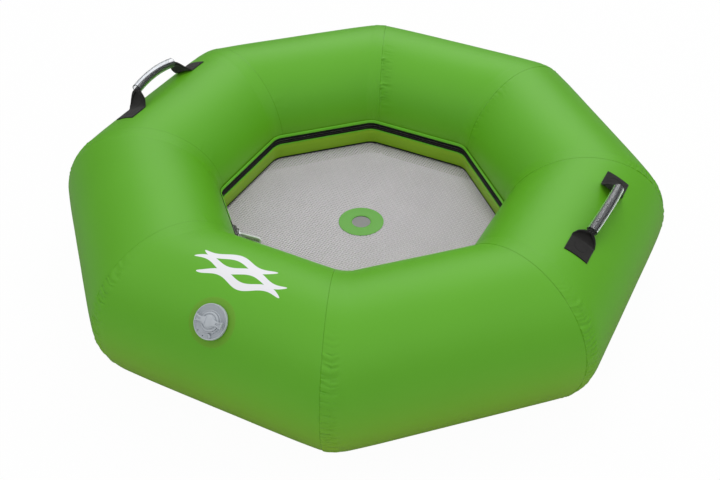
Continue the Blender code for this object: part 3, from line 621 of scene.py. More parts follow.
def well_band(name, section, material):
    """A band round the well; section(i) gives a row's closed outline of (apothem, height above the zip)."""
    return skin_piece(name, [[centre + way * (apothem - well_core) + Vector((0, 0, tube_radius + up))
                              for apothem, up in section(i)] for i, (centre, way) in enumerate(well_rows())],
                      material, closed_run=True)


def cloth_material(name, colour, roughness, pitch, relief, contrast=0.6):
    """Woven cloth: raised threads, with painted shade between them, and lint and fading."""
    material, tree, shader, place, shown, amount = start_material(name, colour, roughness, (30.0, 0.25, 1200.0, 0.35), {
        "Specular IOR Level": 0.25, "Sheen Weight": 0.15, "Sheen Roughness": 0.4})
    height = add_node(tree, "ShaderNodeGroup", {
        "Chart": add_node(tree, "ShaderNodeUVMap", uv_map="UVMap"), "Pitch along": pitch[0], "Pitch across": pitch[1]},
        node_tree=weave_group)
    # Painted shade: the cloth is darker between its threads.
    shown = blend_colour((1 - height) * contrast, shown, [share * gap_shade_tint for share in colour])
    dress(shader, shown, amount * cloth_uneven + roughness, height, relief)
    return material


def plastic_material(name, colour, roughness):
    """Moulded plastic or rubber: a fine eroded grain and faint flow marks."""
    return mottled_material(name, colour, roughness, (60.0, 0.08, 2500.0, 0.10), 0.0003, 1.0)


def teeth_tree():
    """Small eight-sided beads round the well, in two rows that take turns."""
    tree, given = start_group("zip_teeth", {
        "Beads": 1188, "Apothem": 0.287, "Corner radius": 0.022, "Height": 0.0, "Row height": 0.0026,
        "Along": 0.001, "Across": 0.001, "Tall": 0.001, "Material": None}, {"Geometry": "Geometry"})
    octagon = add_node(tree, "GeometryNodeCurvePrimitiveCircle", {
        "Resolution": 8, "Radius": given["Apothem"] / cos(half_side)}, mode="RADIUS")
    turned_octagon = add_node(tree, "GeometryNodeTransform", {
        "Geometry": octagon, "Rotation": (0, 0, half_side), "Translation": vector_of(tree, 0.0, 0.0, given["Height"])})
    rounded_octagon = add_node(tree, "GeometryNodeFilletCurve", {
        "Curve": turned_octagon, "Radius": given["Corner radius"], "Count": 8}, mode="POLY")
    spaced = add_node(tree, "GeometryNodeResampleCurve", {
        "Curve": rounded_octagon, "Count": given["Beads"]}, mode="COUNT")
    facing = add_node(tree, "FunctionNodeAlignRotationToVector", {
        "Vector": add_node(tree, "GeometryNodeInputTangent")}, axis="X", pivot_axis="Z")
    odd = (add_node(tree, "GeometryNodeInputIndex") / 2).calc("FRACT").calc("GREATER_THAN", 0.25)
    bead = add_node(tree, "GeometryNodeTransform", {
        "Geometry": add_node(tree, "GeometryNodeMeshCylinder", {"Vertices": 8, "Radius": 0.5, "Depth": 1.0}),
        "Rotation": (pi / 2, 0, 0)})
    rows = []
    for side, chosen in ((1, odd), (-1, 1 - odd)):
        sized = add_node(tree, "GeometryNodeTransform", {
            "Geometry": bead, "Scale": vector_of(tree, given["Along"], given["Across"], given["Tall"]),
            "Translation": vector_of(tree, 0.0, 0.0, given["Row height"] * side)})
        rows.append(add_node(tree, "GeometryNodeInstanceOnPoints", {
            "Points": spaced, "Selection": chosen, "Instance": sized, "Rotation": facing}))
    return end_tree(tree, rows, given["Material"])


tape_material = cloth_material("zip_tape", (0.014, 0.014, 0.012), 0.72, (0.0011, 0.0009), 0.00018)
tooth_material = plastic_material("zip_teeth", (0.014, 0.014, 0.013), 0.38)
# Painted light: the lip and the skirt's weld are a brighter copy of the cover's green, for the light their edges catch.
lip_lit_material = vinyl_material("lip_vinyl_lit", (0.150, 0.560, 0.016), 0.38)
for name, foot, top in (("upper", slot_half, tape_top), ("lower", tape_foot, -slot_half)):
    outline = rounded([(tape_face + tape_wall, foot), (tape_face + tape_wall, top), (tape_face, top),
                       (tape_face, foot)], 0.0003, 2)
    settle(well_band("zip_tape_" + name, lambda i: outline, tape_material), "tube", "zip_cloth", "zipper_tape_" + name)

tooth_middle = tooth_face + tooth_depth / 2
teeth = grow("zip_teeth", teeth_tree(), {
    "Beads": 2 * round(2 * 8 * tooth_middle * tan(half_side) / tooth_pitch), "Apothem": tooth_middle,
    "Corner radius": tooth_middle - well_core, "Height": tube_radius, "Row height": (tooth_top + tooth_foot) / 2,
    "Along": tooth_pitch * tooth_share, "Across": tooth_depth, "Tall": tooth_top - tooth_foot,
    "Material": tooth_material})
settle(teeth, "tube", "zip_cloth", "zipper_teeth_upper", "zipper_teeth_lower")

lip_outline = rounded([(lip_face, lip_foot), (lip_face, lip_top), (lip_face + 0.0010, lip_top + 0.0012),
                       (lip_face + 0.0002, lip_top + 0.0016), (lip_face - lip_wall, lip_top),
                       (lip_face - lip_wall, lip_foot)], 0.0004)
tucked_outline = [(tape_face + tape_wall / 2 + (apothem - lip_face) * 0.25, min(up, tape_top - 0.0004))
                  for apothem, up in lip_outline]
lip = well_band("zip_lip", lambda i: tucked_outline if i in notch_rows else lip_outline, lip_lit_material)
settle(lip, "tube", "cover_skin", "zipper_flap")


# The slider, cast in dark metal: a front plate and a back plate joined by a post, which guides that hold the
# teeth stand on. It closes against a moulded stop. A wire bail on its plate carries a bright link and pull tab.
slider_side, slider_length, slider_half = radians(-135), 0.033, 0.0085
crown_face, plate_front, plate_back, guide_foot, rooted = 0.2800, 0.2828, 0.2858, 0.2886, 0.0002
guide_in, guide_out = 0.0048, 0.0065
back_face, back_wall, back_half = 0.2900, 0.0011, 0.0080
stop_start, stop_end = 0.0336, 0.0436
bail_place, bail_run, bail_half, bail_wire, bail_bend = 0.0180, 0.2778, 0.0065, 0.0012, 0.0030
link_pitch, fork_room, lug_radius, pin_bore = 0.0160, 0.0029, 0.0027, 0.0013
tab_length, tab_half, tab_wall, tab_turn = 0.0480, 0.0070, 0.0026, radians(140)
rim_half, rim_start, rim_end, rim_tip, rim_radius, rim_bend = 0.0064, 0.0040, 0.0450, 0.0484, 0.0021, 0.0040


def side_frame(angle):
    """Local +X points out of a side, +Y runs along it and +Z is up, from the tube's middle height."""
    return Matrix.Translation((0, 0, tube_radius)) @ Matrix.Rotation(angle, 4, "Z")


def block(x, y, end_x, end_y):
    """A rectangle's outline from one corner to the one across."""
    return [(x, y), (end_x, y), (end_x, end_y), (x, end_y)]


def round_edges(piece, width):
    """Rounds the sharp edges of a piece."""
    return finish_piece(piece, "BEVEL", width=width, segments=2, limit_method="ANGLE", angle_limit=radians(40))


def plate(name, outline, foot, top, matrix, material, bevel, border=None):
    """An outline drawn up between two levels, its edges rounded; a border leaves both faces sunk inside it."""
    shape = bmesh.new()
    floor = shape.faces.new([shape.verts.new((x, y, foot)) for x, y in outline])
    grown = bmesh.ops.extrude_face_region(shape, geom=[floor])
    for vert in (v for v in grown["geom"] if isinstance(v, bmesh.types.BMVert)):
        vert.co.z = top
    lid = next(f for f in grown["geom"] if isinstance(f, bmesh.types.BMFace))
    bmesh.ops.recalc_face_normals(shape, faces=shape.faces)
    if border:
        width, depth = border
        for face, way in ((lid, -1), (floor, 1)):
            bmesh.ops.inset_region(shape, faces=[face], thickness=width, use_even_offset=True)
            for vert in face.verts:
                vert.co.z += way * depth
    piece = round_edges(add_piece(name, keep_mesh(name, shape), material), bevel)
    piece.data.transform(matrix)
    tidy_mesh(piece.data, 40)
    return piece


def swept(name, points, radius, matrix, material, sides=12):
    """A round bar along points, with its ends closed."""
    points = [matrix @ Vector(point) for point in points]
    up = (matrix.to_3x3() @ Vector((0, 0, 1))).normalized()
    loops = []
    for i, point in enumerate(points):
        run = (points[min(i + 1, len(points) - 1)] - points[max(i - 1, 0)]).normalized()
        side = run.cross(up).normalized()
        loops.append([point + side * (radius * cos(2 * pi * k / sides)) + side.cross(run) * (
            radius * sin(2 * pi * k / sides)) for k in range(sides)])
    return skin_piece(name, loops, material)


def turned(name, profile, matrix, material, steps=72):
    """A closed profile of (radius, height) points turned round a frame's Z axis."""
    return skin_piece(name, [[matrix @ Vector((r * cos(2 * pi * i / steps), r * sin(2 * pi * i / steps), h))
                              for r, h in profile] for i in range(steps)], material, closed_run=True)


def merge_pieces(name, pieces):
    """Makes several pieces one."""
    with bpy.context.temp_override(active_object=pieces[0], selected_editable_objects=pieces):
        bpy.ops.object.join()
    pieces[0].name = pieces[0].data.name = name
    return pieces[0]


def wear_tree():
    """Worn edges: one where a surface bends sharply outwards, broken up by scratches."""
    tree, given = start_group("edge_wear", {"Place": (0.0, 0.0, 0.0), "Scale": 600.0, "Share": 0.8}, {"Worn": "Float"})
    bent = ease(add_node(tree, "ShaderNodeNewGeometry", out="Pointiness"), 0.52, 0.60)
    scratch = add_node(tree, "ShaderNodeTexNoise", {"Vector": given["Place"], "Scale": given["Scale"], "Detail": 4.0})
    add_node(tree, "NodeGroupOutput", {"Worn": bent * ease(scratch, 0.40, 0.60) * given["Share"]}, ())
    return tree


wear_group = wear_tree()


def metal_material(name, colour, roughness, metallic, bare=(0.60, 0.60, 0.58)):
    """Plated or painted metal with brushed scratches, worn to bare metal on its edges."""
    material, tree, shader, place, shown, amount = start_material(
        name, colour, roughness, (120.0, 0.12, 3000.0, 0.25), {"Metallic": metallic})
    worn = add_node(tree, "ShaderNodeGroup", {"Place": place, "Scale": 700.0, "Share": 0.7}, node_tree=wear_group)
    dress(shader, blend_colour(worn, shown, bare), amount + roughness, amount, 0.0002)
    return material


def softened(node, name, width):
    """A copy of a node's own shape in bright metal, with its edges rounded."""
    shape = bmesh.new()
    shape.from_mesh(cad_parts[node].data)
    bmesh.ops.remove_doubles(shape, verts=shape.verts, dist=0.00001)
    bmesh.ops.dissolve_limit(shape, angle_limit=radians(2), verts=shape.verts, edges=shape.edges)
    piece = round_edges(add_piece(name, keep_mesh(name, shape), bright_metal), width)
    shade(piece.data, 40)
    return piece


def ridge_tree():
    """Slanted ridges along both faces of the tab, for the fingers."""
    tree, given = start_group("tab_ridges", {
        "Ridges": 9, "Pitch": 0.0034, "Start": 0.0145, "Drop": -0.0014, "Slant": 0.6, "Length": 0.0060,
        "Width": 0.0011, "Depth": 0.0020, "Material": None}, {"Geometry": "Geometry"})
    line = add_node(tree, "GeometryNodeMeshLine", {
        "Count": given["Ridges"], "Start Location": vector_of(tree, given["Start"], given["Drop"], 0.0),
        "Offset": vector_of(tree, given["Pitch"], 0.0, 0.0)}, mode="OFFSET")
    bar = add_node(tree, "GeometryNodeMeshCube", {
        "Size": vector_of(tree, given["Width"], given["Length"], given["Depth"])})
    slanted = add_node(tree, "GeometryNodeTransform", {
        "Geometry": bar, "Rotation": vector_of(tree, 0.0, 0.0, given["Slant"])})
    return end_tree(tree, add_node(tree, "GeometryNodeInstanceOnPoints", {"Points": line, "Instance": slanted}),
                    given["Material"])


dark_metal = metal_material("blackened_metal", (0.030, 0.030, 0.028), 0.36, 0.7)
bright_metal = metal_material("bright_metal", (0.88, 0.88, 0.91), 0.28, 0.15, (0.92, 0.92, 0.94))
pull_metal = metal_material("pull_metal", (0.74, 0.72, 0.76), 0.40, 0.0, (0.80, 0.80, 0.80))
along_zip = side_frame(slider_side) @ Matrix(((0, 0, 1, 0), (1, 0, 0, 0), (0, 1, 0, 0), (0, 0, 0, 1)))
front_outline = [(0.0, 0.0060), (0.0, -0.0060), (0.0060, -slider_half), (0.0240, -slider_half),
                 (slider_length, -0.0066), (slider_length, 0.0066), (0.0240, slider_half), (0.0060, slider_half)]
back_outline = [(x, y * back_half / slider_half) for x, y in front_outline]
post_outline = [(0.0, 0.0004), (0.0, -0.0004), (0.0200, -0.0006), (slider_length, -0.0004), (slider_length, 0.0004),
                (0.0200, 0.0006)]
crown_outline = [(0.0012, 0.0048), (0.0012, -0.0048), (0.0130, -0.0062), (0.0130, 0.0062)]
casting = [plate("slider_part", outline, foot, top, along_zip, dark_metal, bevel) for outline, foot, top, bevel in (
    (rounded(front_outline, 0.0030), plate_front, plate_back, 0.0007),
    (rounded(post_outline, 0.0002), plate_back - rooted, back_face + rooted, 0.0001),
    (rounded(back_outline, 0.0030), back_face, back_face + back_wall, 0.0003),
    *((block(0.0, way * guide_in, slider_length, way * guide_out), plate_back - rooted, guide_foot, 0.0003)
      for way in (1, -1)),
    (rounded(crown_outline, 0.0026), crown_face, plate_front + 0.0003, 0.0008))]
settle(merge_pieces("slider_casting", casting), "slider", "dark_metal", "slider_body")
bail_foot = plate_front - 0.0003
bail_route = [(bail_place, bail_half, bail_foot), (bail_place, bail_half, bail_run), (bail_place, -bail_half, bail_run),
              (bail_place, -bail_half, bail_foot)]
bail = swept("wire_bail", bent_route(bail_route, bail_bend), bail_wire, along_zip, dark_metal)
settle(bail, "slider", "dark_metal", "slider_bail")

stop = [plate("stop_part", outline, foot, top, along_zip, tooth_material, bevel) for outline, foot, top, bevel in (
    (rounded(block(stop_start, -guide_out, stop_end, guide_out), 0.0012), plate_front, plate_back, 0.0008),
    *((block(stop_start, way * guide_in, stop_end, way * guide_out), plate_back - rooted, guide_foot, 0.0003)
      for way in (1, -1)))]
settle(merge_pieces("zip_stop", stop), "tube", "zip_cloth", "zipper_end_stop")

for node, name, width in (("pull_link", "chain_link", 0.0003), ("pull_pin", "link_pin", 0.0002)):
    settle(softened(node, name, width), "pull_link", "bright_metal", node)

at_pin = side_frame(slider_side) @ Matrix.Translation((bail_run, bail_place + link_pitch, 0))
upright = at_pin @ Matrix.Rotation(tab_turn, 4, "Z") @ Matrix.Rotation(pi / 2, 4, "X")
tab_outline = rounded([
    (0.0018, fork_room, 0), (0.0034, fork_room, 0.0004), (0.0034, -fork_room, 0.0004), (0.0018, -fork_room, 0),
    (0.0018, -tab_half, 0), (tab_length, -tab_half, 0.0060), (tab_length, tab_half, 0.0060), (0.0018, tab_half, 0)],
    0.0004, 5)
rim_route = bent_route([(rim_start, -rim_half, 0), (rim_end, -rim_half, 0), (rim_tip, 0, 0), (rim_end, rim_half, 0),
                        (rim_start, rim_half, 0)], rim_bend)
# Painted shade: the ridges are given blackened metal, to stand for the shade in the tab's moulded grooves.
ridges = grow("tab_ridges", ridge_tree(), {"Material": dark_metal}, "BEVEL", width=0.0002, segments=2)
ridges.data.transform(upright)
tab_parts = [
    plate("tab_blade", tab_outline, -tab_wall / 2, tab_wall / 2, upright, pull_metal, 0.0003, (0.0012, 0.0006)),
    swept("tab_rim", rim_route, rim_radius, upright, bright_metal, 10),
    *(turned("tab_lug", rounded(block(pin_bore, low, lug_radius, high), 0.0003), at_pin, bright_metal, 24)
      for low, high in ((fork_room, tab_half), (-tab_half, -fork_room))), ridges]
settle(merge_pieces("zip_pull", tab_parts), "pull_tab", "bright_metal", "pull_tab")


# The floor's skirt: a strip of the cover's cloth welded on below the zip, which hangs a little outwards. A black
# webbing binding is stitched round the inside of its foot and holds the net.
skirt_face, skirt_wall, skirt_top, skirt_bend = 0.2886, 0.0010, -0.0090, -0.0210
skirt_foot, skirt_foot_face, skirt_billow = -0.0540, 0.2960, 0.0016
billow_in, billow_waves = 0.8, ((0.4, 0.157, 0), (0.6, 0.061, 1))
weld_height, binding_wall, binding_height, binding_gap = 0.0028, 0.0008, 0.0045, 0.0003


def skirt_apothem(up, row):
    """The skirt's outer face at a height: upright at the top, then leaning out, with a soft billow."""
    below = max(0.0, (skirt_bend - up) / (skirt_bend - skirt_foot))
    swell = sin(pi * below) * skirt_billow * sum(share * sin(row * pace + lag) for share, pace, lag in billow_waves)
    return skirt_face + (skirt_foot_face - skirt_face) * below - max(0.0, swell) * billow_in


def skirt_section(row):
    heights = np.concatenate([np.linspace(skirt_top - weld_height + 0.0010, skirt_bend, 4),
                              np.linspace(skirt_bend, skirt_foot, 9)[1:]])
    outer = [(skirt_apothem(up, row), up) for up in heights]
    return outer + [(apothem - skirt_wall, up) for apothem, up in reversed(outer)]


def binding_section(row):
    foot, top = skirt_foot, skirt_foot + binding_height
    at_foot, at_top = (skirt_apothem(up, row) - skirt_wall - binding_gap for up in (foot, top))
    return rounded([(at_foot, foot), (at_top, top), (at_top - binding_wall, top), (at_foot - binding_wall, foot)],
                   0.0003, 2)


weld_outline = rounded([(skirt_face, skirt_top), (skirt_face, skirt_top - weld_height),
                        (skirt_face - 0.0018, skirt_top - weld_height), (skirt_face - 0.0016, skirt_top)], 0.0005)
skirt_material = vinyl_material("skirt_vinyl", (0.265, 0.490, 0.009), 0.50)
binding_material = cloth_material("skirt_binding", (0.016, 0.016, 0.015), 0.75, (0.0016, 0.0009), 0.0002)
for name, section, material, slot, node in (
        ("skirt_cloth", skirt_section, skirt_material, "cover_skin", "floor_skirt"),
        ("skirt_weld", lambda row: weld_outline, lip_lit_material, "cover_skin", "floor_skirt"),
        ("net_binding", binding_section, binding_material, "zip_cloth", "floor_binding")):
    settle(well_band(name, section, material), "tube", slot, node)


# The floor net: woven strands of white coated yarn, 6 mm apart, that pass over and under each other.
net_pitch, net_width, net_wall = 0.0060, 0.0033, 0.0006
net_reach, net_corner, net_height = 0.2954, 0.3156, 0.1051
drain_bore, drain_ring_radius = 0.0205, 0.0500


def net_tree():
    """Strands both ways across the octagon, each cut to the octagon's edge and to the drain."""
    tree, given = start_group("floor_net", {
        "Strands": 2 * ceil(net_reach / net_pitch) + 1, "Pitch": net_pitch, "Width": net_width, "Wall": net_wall,
        "Reach": net_reach, "Corner reach": net_corner, "Height": net_height, "Drain": drain_bore, "Material": None},
        {"Geometry": "Geometry"})
    pitch, reach, corner_reach = given["Pitch"], given["Reach"], given["Corner reach"]
    size = (given["Strands"] - 1) * pitch
    section = add_node(tree, "GeometryNodeCurvePrimitiveQuadrilateral", {
        "Width": given["Width"], "Height": given["Wall"]})
    grid = add_node(tree, "GeometryNodeMeshGrid", {
        "Size X": size, "Size Y": size, "Vertices X": given["Strands"], "Vertices Y": given["Strands"]})
    heads, tails = (split(end)[1] for end in add_node(
        tree, "GeometryNodeInputMeshEdgeVertices", out=("Position 1", "Position 2")))
    lines = add_node(tree, "GeometryNodeDeleteGeometry", {
        "Geometry": grid, "Selection": abs(heads - tails).calc("GREATER_THAN", pitch / 2)},
        domain="EDGE", mode="EDGE_FACE")
    x, y, _ = split(add_node(tree, "GeometryNodeInputPosition"))
    limit = reach.calc("MINIMUM", reach * sqrt(2) - abs(y)).calc(
        "MINIMUM", (corner_reach * corner_reach - y * y).calc("SQRT"))
    beyond = (abs(x) - limit).calc("GREATER_THAN", pitch * 0.99)
    outside = abs(y).calc("GREATER_THAN", reach - given["Width"] / 2)
    drain = (x * x + y * y).calc("SQRT").calc("LESS_THAN", given["Drain"] + given["Width"] / 2)
    kept = add_node(tree, "GeometryNodeDeleteGeometry", {
        "Geometry": lines, "Selection": beyond.calc("MAXIMUM", outside).calc("MAXIMUM", drain)},
        domain="POINT", mode="ALL")
    number = (x / pitch).calc("ROUND") + (y / pitch).calc("ROUND")
    over = (number / 2).calc("FRACT").calc("GREATER_THAN", 0.25) * 2 - 1
    cut = x.calc("MAXIMUM", limit * -1).calc("MINIMUM", limit)
    ways = []
    for turned_by, lift in ((0, 0.5), (pi / 2, -0.5)):
        level = given["Height"] + over * lift * (given["Wall"] * 1.02)
        placed = add_node(tree, "GeometryNodeSetPosition", {
            "Geometry": kept, "Position": vector_of(tree, cut, y, level)})
        curves = add_node(tree, "GeometryNodeSetCurveNormal", {
            "Curve": add_node(tree, "GeometryNodeMeshToCurve", {"Mesh": placed})}, mode="Z_UP")
        strands = add_node(tree, "GeometryNodeCurveToMesh", {
            "Curve": curves, "Profile Curve": section, "Fill Caps": True})
        ways.append(add_node(tree, "GeometryNodeTransform", {"Geometry": strands, "Rotation": (0, 0, turned_by)}))
    return end_tree(tree, ways, given["Material"])


yarn = mottled_material("net_yarn", (0.690, 0.636, 0.690), 0.55, (14.0, 0.14, 700.0, 0.35), 0.0004)
net = grow("floor_net", net_tree(), {"Material": yarn})
settle(net, "tube", "mesh_cloth", "floor_mesh")


# The drain: a hole in the middle of the net, held by two rings of the cover's cloth welded on both of its faces.
ring_wall, upper_foot, lower_foot, inner_slope, outer_slope = 0.0008, 0.1060, 0.1042, 0.0030, 0.0045
drain_material = vinyl_material("drain_vinyl", (0.135, 0.400, 0.060), 0.45, flat=True)
for name, foot, lift in (("upper", upper_foot, ring_wall), ("lower", lower_foot, -ring_wall)):
    trim = turned("drain_trim_" + name, rounded([
        (drain_bore, foot), (drain_bore + inner_slope, foot + lift), (drain_ring_radius - outer_slope, foot + lift),
        (drain_ring_radius, foot + lift * 0.7), (drain_ring_radius, foot)], 0.0005), Matrix.Identity(4),
        drain_material, 96)
    settle(trim, "tube", "cover_skin", "drain_ring_" + name)


# The valve's flanged body, moulded in grey plastic: a raised rim, a bowl that falls to the collar round the cap,
# stop ribs and two spanner holes. A rubber gasket seals it to the cover and a nut holds it from inside.
valve_turn, valve_offset = radians(45), -0.005
flange_radius, barrel_radius, barrel_bore, gasket_radius, gasket_lift = 0.0325, 0.0190, 0.0155, 0.0300, 0.0013
collar_radius, collar_height, barrel_foot, barrel_floor = 0.0205, 0.0066, -0.0260, -0.0232
spanner_reach, spanner_radius, spanner_turns = 0.0282, 0.0011, (228.6, 257.4)
hole_room, gasket_room, gasket_sunk, barrel_room = 0.0006, 0.0003, 0.0006, 0.00002


def skin_frame(side_angle, turn, offset):
    """Origin on the skin, local +Z out of it and local +Y along the side."""
    place = Matrix.Translation((ring_apothem + tube_radius * cos(turn), offset, tube_radius * sin(turn)))
    return side_frame(side_angle) @ place @ Matrix.Rotation(pi / 2 - turn, 4, "Y")


def carve(piece, tool, operation="DIFFERENCE"):
    """Cuts a piece with a tool, which goes."""
    material = piece.data.materials[0]
    finish_piece(piece, "BOOLEAN", object=tool, operation=operation, solver="EXACT")
    bpy.data.objects.remove(tool, do_unlink=True)
    shade(paint(piece, material).data)


def tube_tool(radius):
    """A round bar in the place of the valve's side of the tube, as a cutter."""
    matrix = side_frame(radians(-90)) @ Matrix.Translation((ring_apothem, 0, 0)) @ Matrix.Rotation(pi / 2, 4, "X")
    return turned("tube_tool", block(0, -0.2, radius, 0.2), matrix, valve_plastic, 180)


valve_plastic = plastic_material("valve_plastic", (0.455, 0.490, 0.525), 0.36)
rubber = plastic_material("seal_rubber", (0.028, 0.028, 0.028), 0.60)
at_valve = skin_frame(radians(-90), valve_turn, valve_offset) @ Matrix.Rotation(pi / 2, 4, "Z")
for holed in (panels["front"], bladder):
    carve(holed, turned("valve_hole", block(0, -0.02, barrel_radius + hole_room, 0.02), at_valve, valve_plastic))

flange = turned("valve_flange", rounded([
    (flange_radius - 0.0002, -0.0060, 0), (flange_radius, 0.0056), (0.0321, 0.0064, 0.0004), (0.0307, 0.0064, 0.0005),
    (0.0302, 0.0050, 0.0008), (0.0280, 0.0030, 0.0020), (0.0250, 0.0016, 0.0020), (0.0214, 0.0014, 0.0004),
    (collar_radius, 0.0022, 0.0004), (collar_radius - 0.0002, collar_height), (0.0188, collar_height),
    (0.0184, 0.0060), (barrel_bore, 0.0060), (barrel_bore, -0.0060, 0)], 0.0004), at_valve, valve_plastic, 96)
carve(flange, tube_tool(tube_radius + gasket_lift))
for turn in spanner_turns:
    spot = at_valve @ Matrix.Rotation(radians(turn), 4, "Z") @ Matrix.Translation((spanner_reach, 0, 0))
    carve(flange, turned("spanner_hole", block(0, -0.0020, spanner_radius, 0.01), spot, valve_plastic, 16))
settle(flange, "tube", "valve_plastic", "valve_body")
barrel = turned("valve_barrel", rounded([
    (barrel_radius, 0.0015, 0), (barrel_radius, barrel_foot), (0.0120, barrel_foot), (0.0120, barrel_floor),
    (barrel_bore + barrel_room, barrel_floor), (barrel_bore + barrel_room, 0.0015, 0)], 0.0005), at_valve,
    valve_plastic)
settle(barrel, "tube", "valve_plastic", "valve_body")
ribs = {"long": [(0.0012, -0.0222), (0.0046, -0.0228), (0.0068, -0.0244), (0.0074, -0.0268), (0.0066, -0.0288),
                 (0.0088, -0.0288), (0.0101, -0.0262), (0.0090, -0.0228), (0.0058, -0.0208), (0.0014, -0.0210)],
        "upper": [(-0.0188, 0.0058), (-0.0162, 0.0064), (-0.0168, 0.0128), (-0.0194, 0.0120)],
        "lower": [(-0.0160, -0.0100), (-0.0134, -0.0104), (-0.0128, -0.0044), (-0.0152, -0.0042)]}
for name, outline in ribs.items():
    rib = plate("valve_rib_" + name, rounded(outline, 0.0008), 0.0010, 0.0066, at_valve, valve_plastic, 0.0006)
    settle(rib, "tube", "valve_plastic")

gasket = turned("valve_washer", block(barrel_radius + gasket_room, -0.01, gasket_radius, 0.004), at_valve, rubber)
carve(gasket, tube_tool(tube_radius + gasket_lift - 0.0001), "INTERSECT")
carve(gasket, tube_tool(tube_radius - gasket_sunk))
settle(gasket, "tube", "seal_rubber", "valve_gasket")
for name in ("valve_nut", "valve_spider"):
    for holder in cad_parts[name].material_slots:
        holder.material = valve_plastic


# Inside the valve: a guided stem carries a button above and a rubber disc below, which a steel spring holds shut.
button_top, button_wall, button_bore, stem_radius, stem_head = -0.0070, 0.0025, 0.0018, 0.0015, -0.0281
spring_radius, spring_wire, spring_turns, spring_steps, press_stroke = 0.0042, 0.0004, 5, 24, 0.006
button_foot, button_dish, spider_face, spring_room = button_top - button_wall, button_top - 0.0006, -0.0209, 0.0003
spring_foot, spring_head = spider_face + spring_room + spring_wire, button_foot - spring_room - spring_wire

for name, node, slot, material, steps, profile in (
        ("press_stem", "valve_stem", "valve_plastic", valve_plastic, 32, rounded([
            (0, button_top - 0.0003, 0), (stem_radius, button_top - 0.0003), (stem_radius, stem_head, 0),
            (0.0050, stem_head), (0.0050, -0.0296), (0, -0.0296, 0)], 0.0003)),
        ("press_button", "stem_button", "valve_plastic", valve_plastic, 48, rounded([
            (button_bore, button_foot), (0.0060, button_foot), (0.0060, button_top), (0.0048, button_top),
            (0.0032, button_dish), (button_bore, button_dish)], 0.0004)),
        ("seal_disc", "valve_seal_disc", "seal_rubber", rubber, 64, rounded(
            block(button_bore, -0.0278, 0.0142, -0.0263), 0.0004))):
    settle(turned(name, profile, at_valve, material, steps), "plunger", slot, node)

spring_steel = metal_material("spring_steel", (0.55, 0.55, 0.56), 0.28, 1.0)
curls = [(spring_radius * cos(2 * pi * i / spring_steps), spring_radius * sin(2 * pi * i / spring_steps),
          spring_foot + (spring_head - spring_foot) * i / (spring_steps * spring_turns))
         for i in range(spring_steps * spring_turns + 1)]
spring = swept("press_spring", curls, spring_wire, at_valve, spring_steel, 8)
settle(spring, "tube", "bright_metal", "valve_spring")
1 - press_stroke / (spring_head - spring_foot)
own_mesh(spring)


# The cap: a moulded disc with stepped rings and a plug with an O-ring. A bar across it, whose two flared wings
# are moulded hollow, turns it.
cap_foot, bar_foot, bar_top, cap_radius, plug_radius = 0.0073, 0.0086, 0.0145, 0.0180, 0.0152
wing_reach, wing_end, hollow_foot, o_ring_wire, o_ring_radius = 0.0270, 0.0066, 0.0126, 0.0009, 0.0141

cap_disc = turned("cap_disc", rounded([
    (0, bar_top - 0.0010, 0), (0.0098, bar_top - 0.0010, 0.0010), (0.0102, 0.0106, 0.0006), (0.0122, 0.0102, 0.0003),
    (0.0124, 0.0082, 0.0003), (0.0141, 0.0082, 0.0003), (0.0144, 0.0096, 0.0004), (0.0172, 0.0092, 0.0008),
    (cap_radius, cap_foot, 0.0003), (plug_radius, cap_foot, 0), (plug_radius, 0.0002, 0), (0.0131, 0.0002, 0),
    (0.0131, -0.0022, 0), (plug_radius, -0.0022, 0), (plug_radius, -0.0050, 0.0004), (0, -0.0050, 0)], 0.0004),
    at_valve, valve_plastic, 96)
wing_edge = [(0.0060, 0.0078, 0), (0.0100, 0.0060), (0.0150, 0.0042), (0.0210, 0.0044), (wing_reach, wing_end, 0.0012)]
hollow_edge = [(0.0150, 0.0020), (0.0200, 0.0022), (0.0256, 0.0046)]
wings = []
for way in (-1, 1):
    wing, hollow = ([(way * x, y, *more) for x, y, *more in edge] + [(way * x, -y, *more) for x, y, *more in edge[::-1]]
                    for edge in (wing_edge, hollow_edge))
    wings.append(plate("cap_wing", rounded(wing, 0.0030), bar_foot, bar_top, at_valve, valve_plastic, 0.0006))
    carve(wings[-1], plate("wing_hollow", rounded(hollow, 0.0014), hollow_foot, bar_top + 0.002, at_valve,
                           valve_plastic, 0.0003))
settle(merge_pieces("turn_cap", [cap_disc, *wings]), "cap", "valve_plastic", "valve_cap")
o_ring = turned("cap_o_ring", [(o_ring_radius + o_ring_wire * cos(2 * pi * i / 16),
                                -0.0010 + o_ring_wire * sin(2 * pi * i / 16)) for i in range(16)],
                at_valve, rubber, 64)
settle(o_ring, "cap_ring", "seal_rubber", "cap_seal")


# The handles: 50 mm black polyester webbing, welded flat to the cover at both ends. Between the ends its edges
# fold up and over, and it runs as a flat tube inside a grip of clear vinyl hose. The right one lies leaning.
handle_turn, webbing_width, webbing_wall = radians(66), 0.0508, 0.0018
tab_near, tab_far, tab_rows, tab_columns, tab_lift, tab_thick, edge_thin = 0.0970, 0.1380, 41, 48, 0.0001, 0.0021, 0.35
mark_middle, mark_stretch, mark_radius, mark_width, mark_depth, mark_start = 0.42, 1.25, 0.0135, 0.0022, 0.0009, 0.30
grip_reach, grip_sagitta, grip_radius, grip_bore, grip_overhang = 0.066, 0.0070, 0.0112, 0.0092, 0.0043
fold_flat, left_fold, right_fold, folded_wall, fold_lift = 0.0030, 0.0150, 0.0178, 0.0015, 0.0060
fold_shares, fold_lines = (0.0, 0.2, 0.5, 0.75, 1.0), (0.0254, 0.0228, 0.0190, 0.0105, fold_flat)
strap_steps, rise_rows, hose_edge, hose_end = 48, 34, 0.0005, 0.996
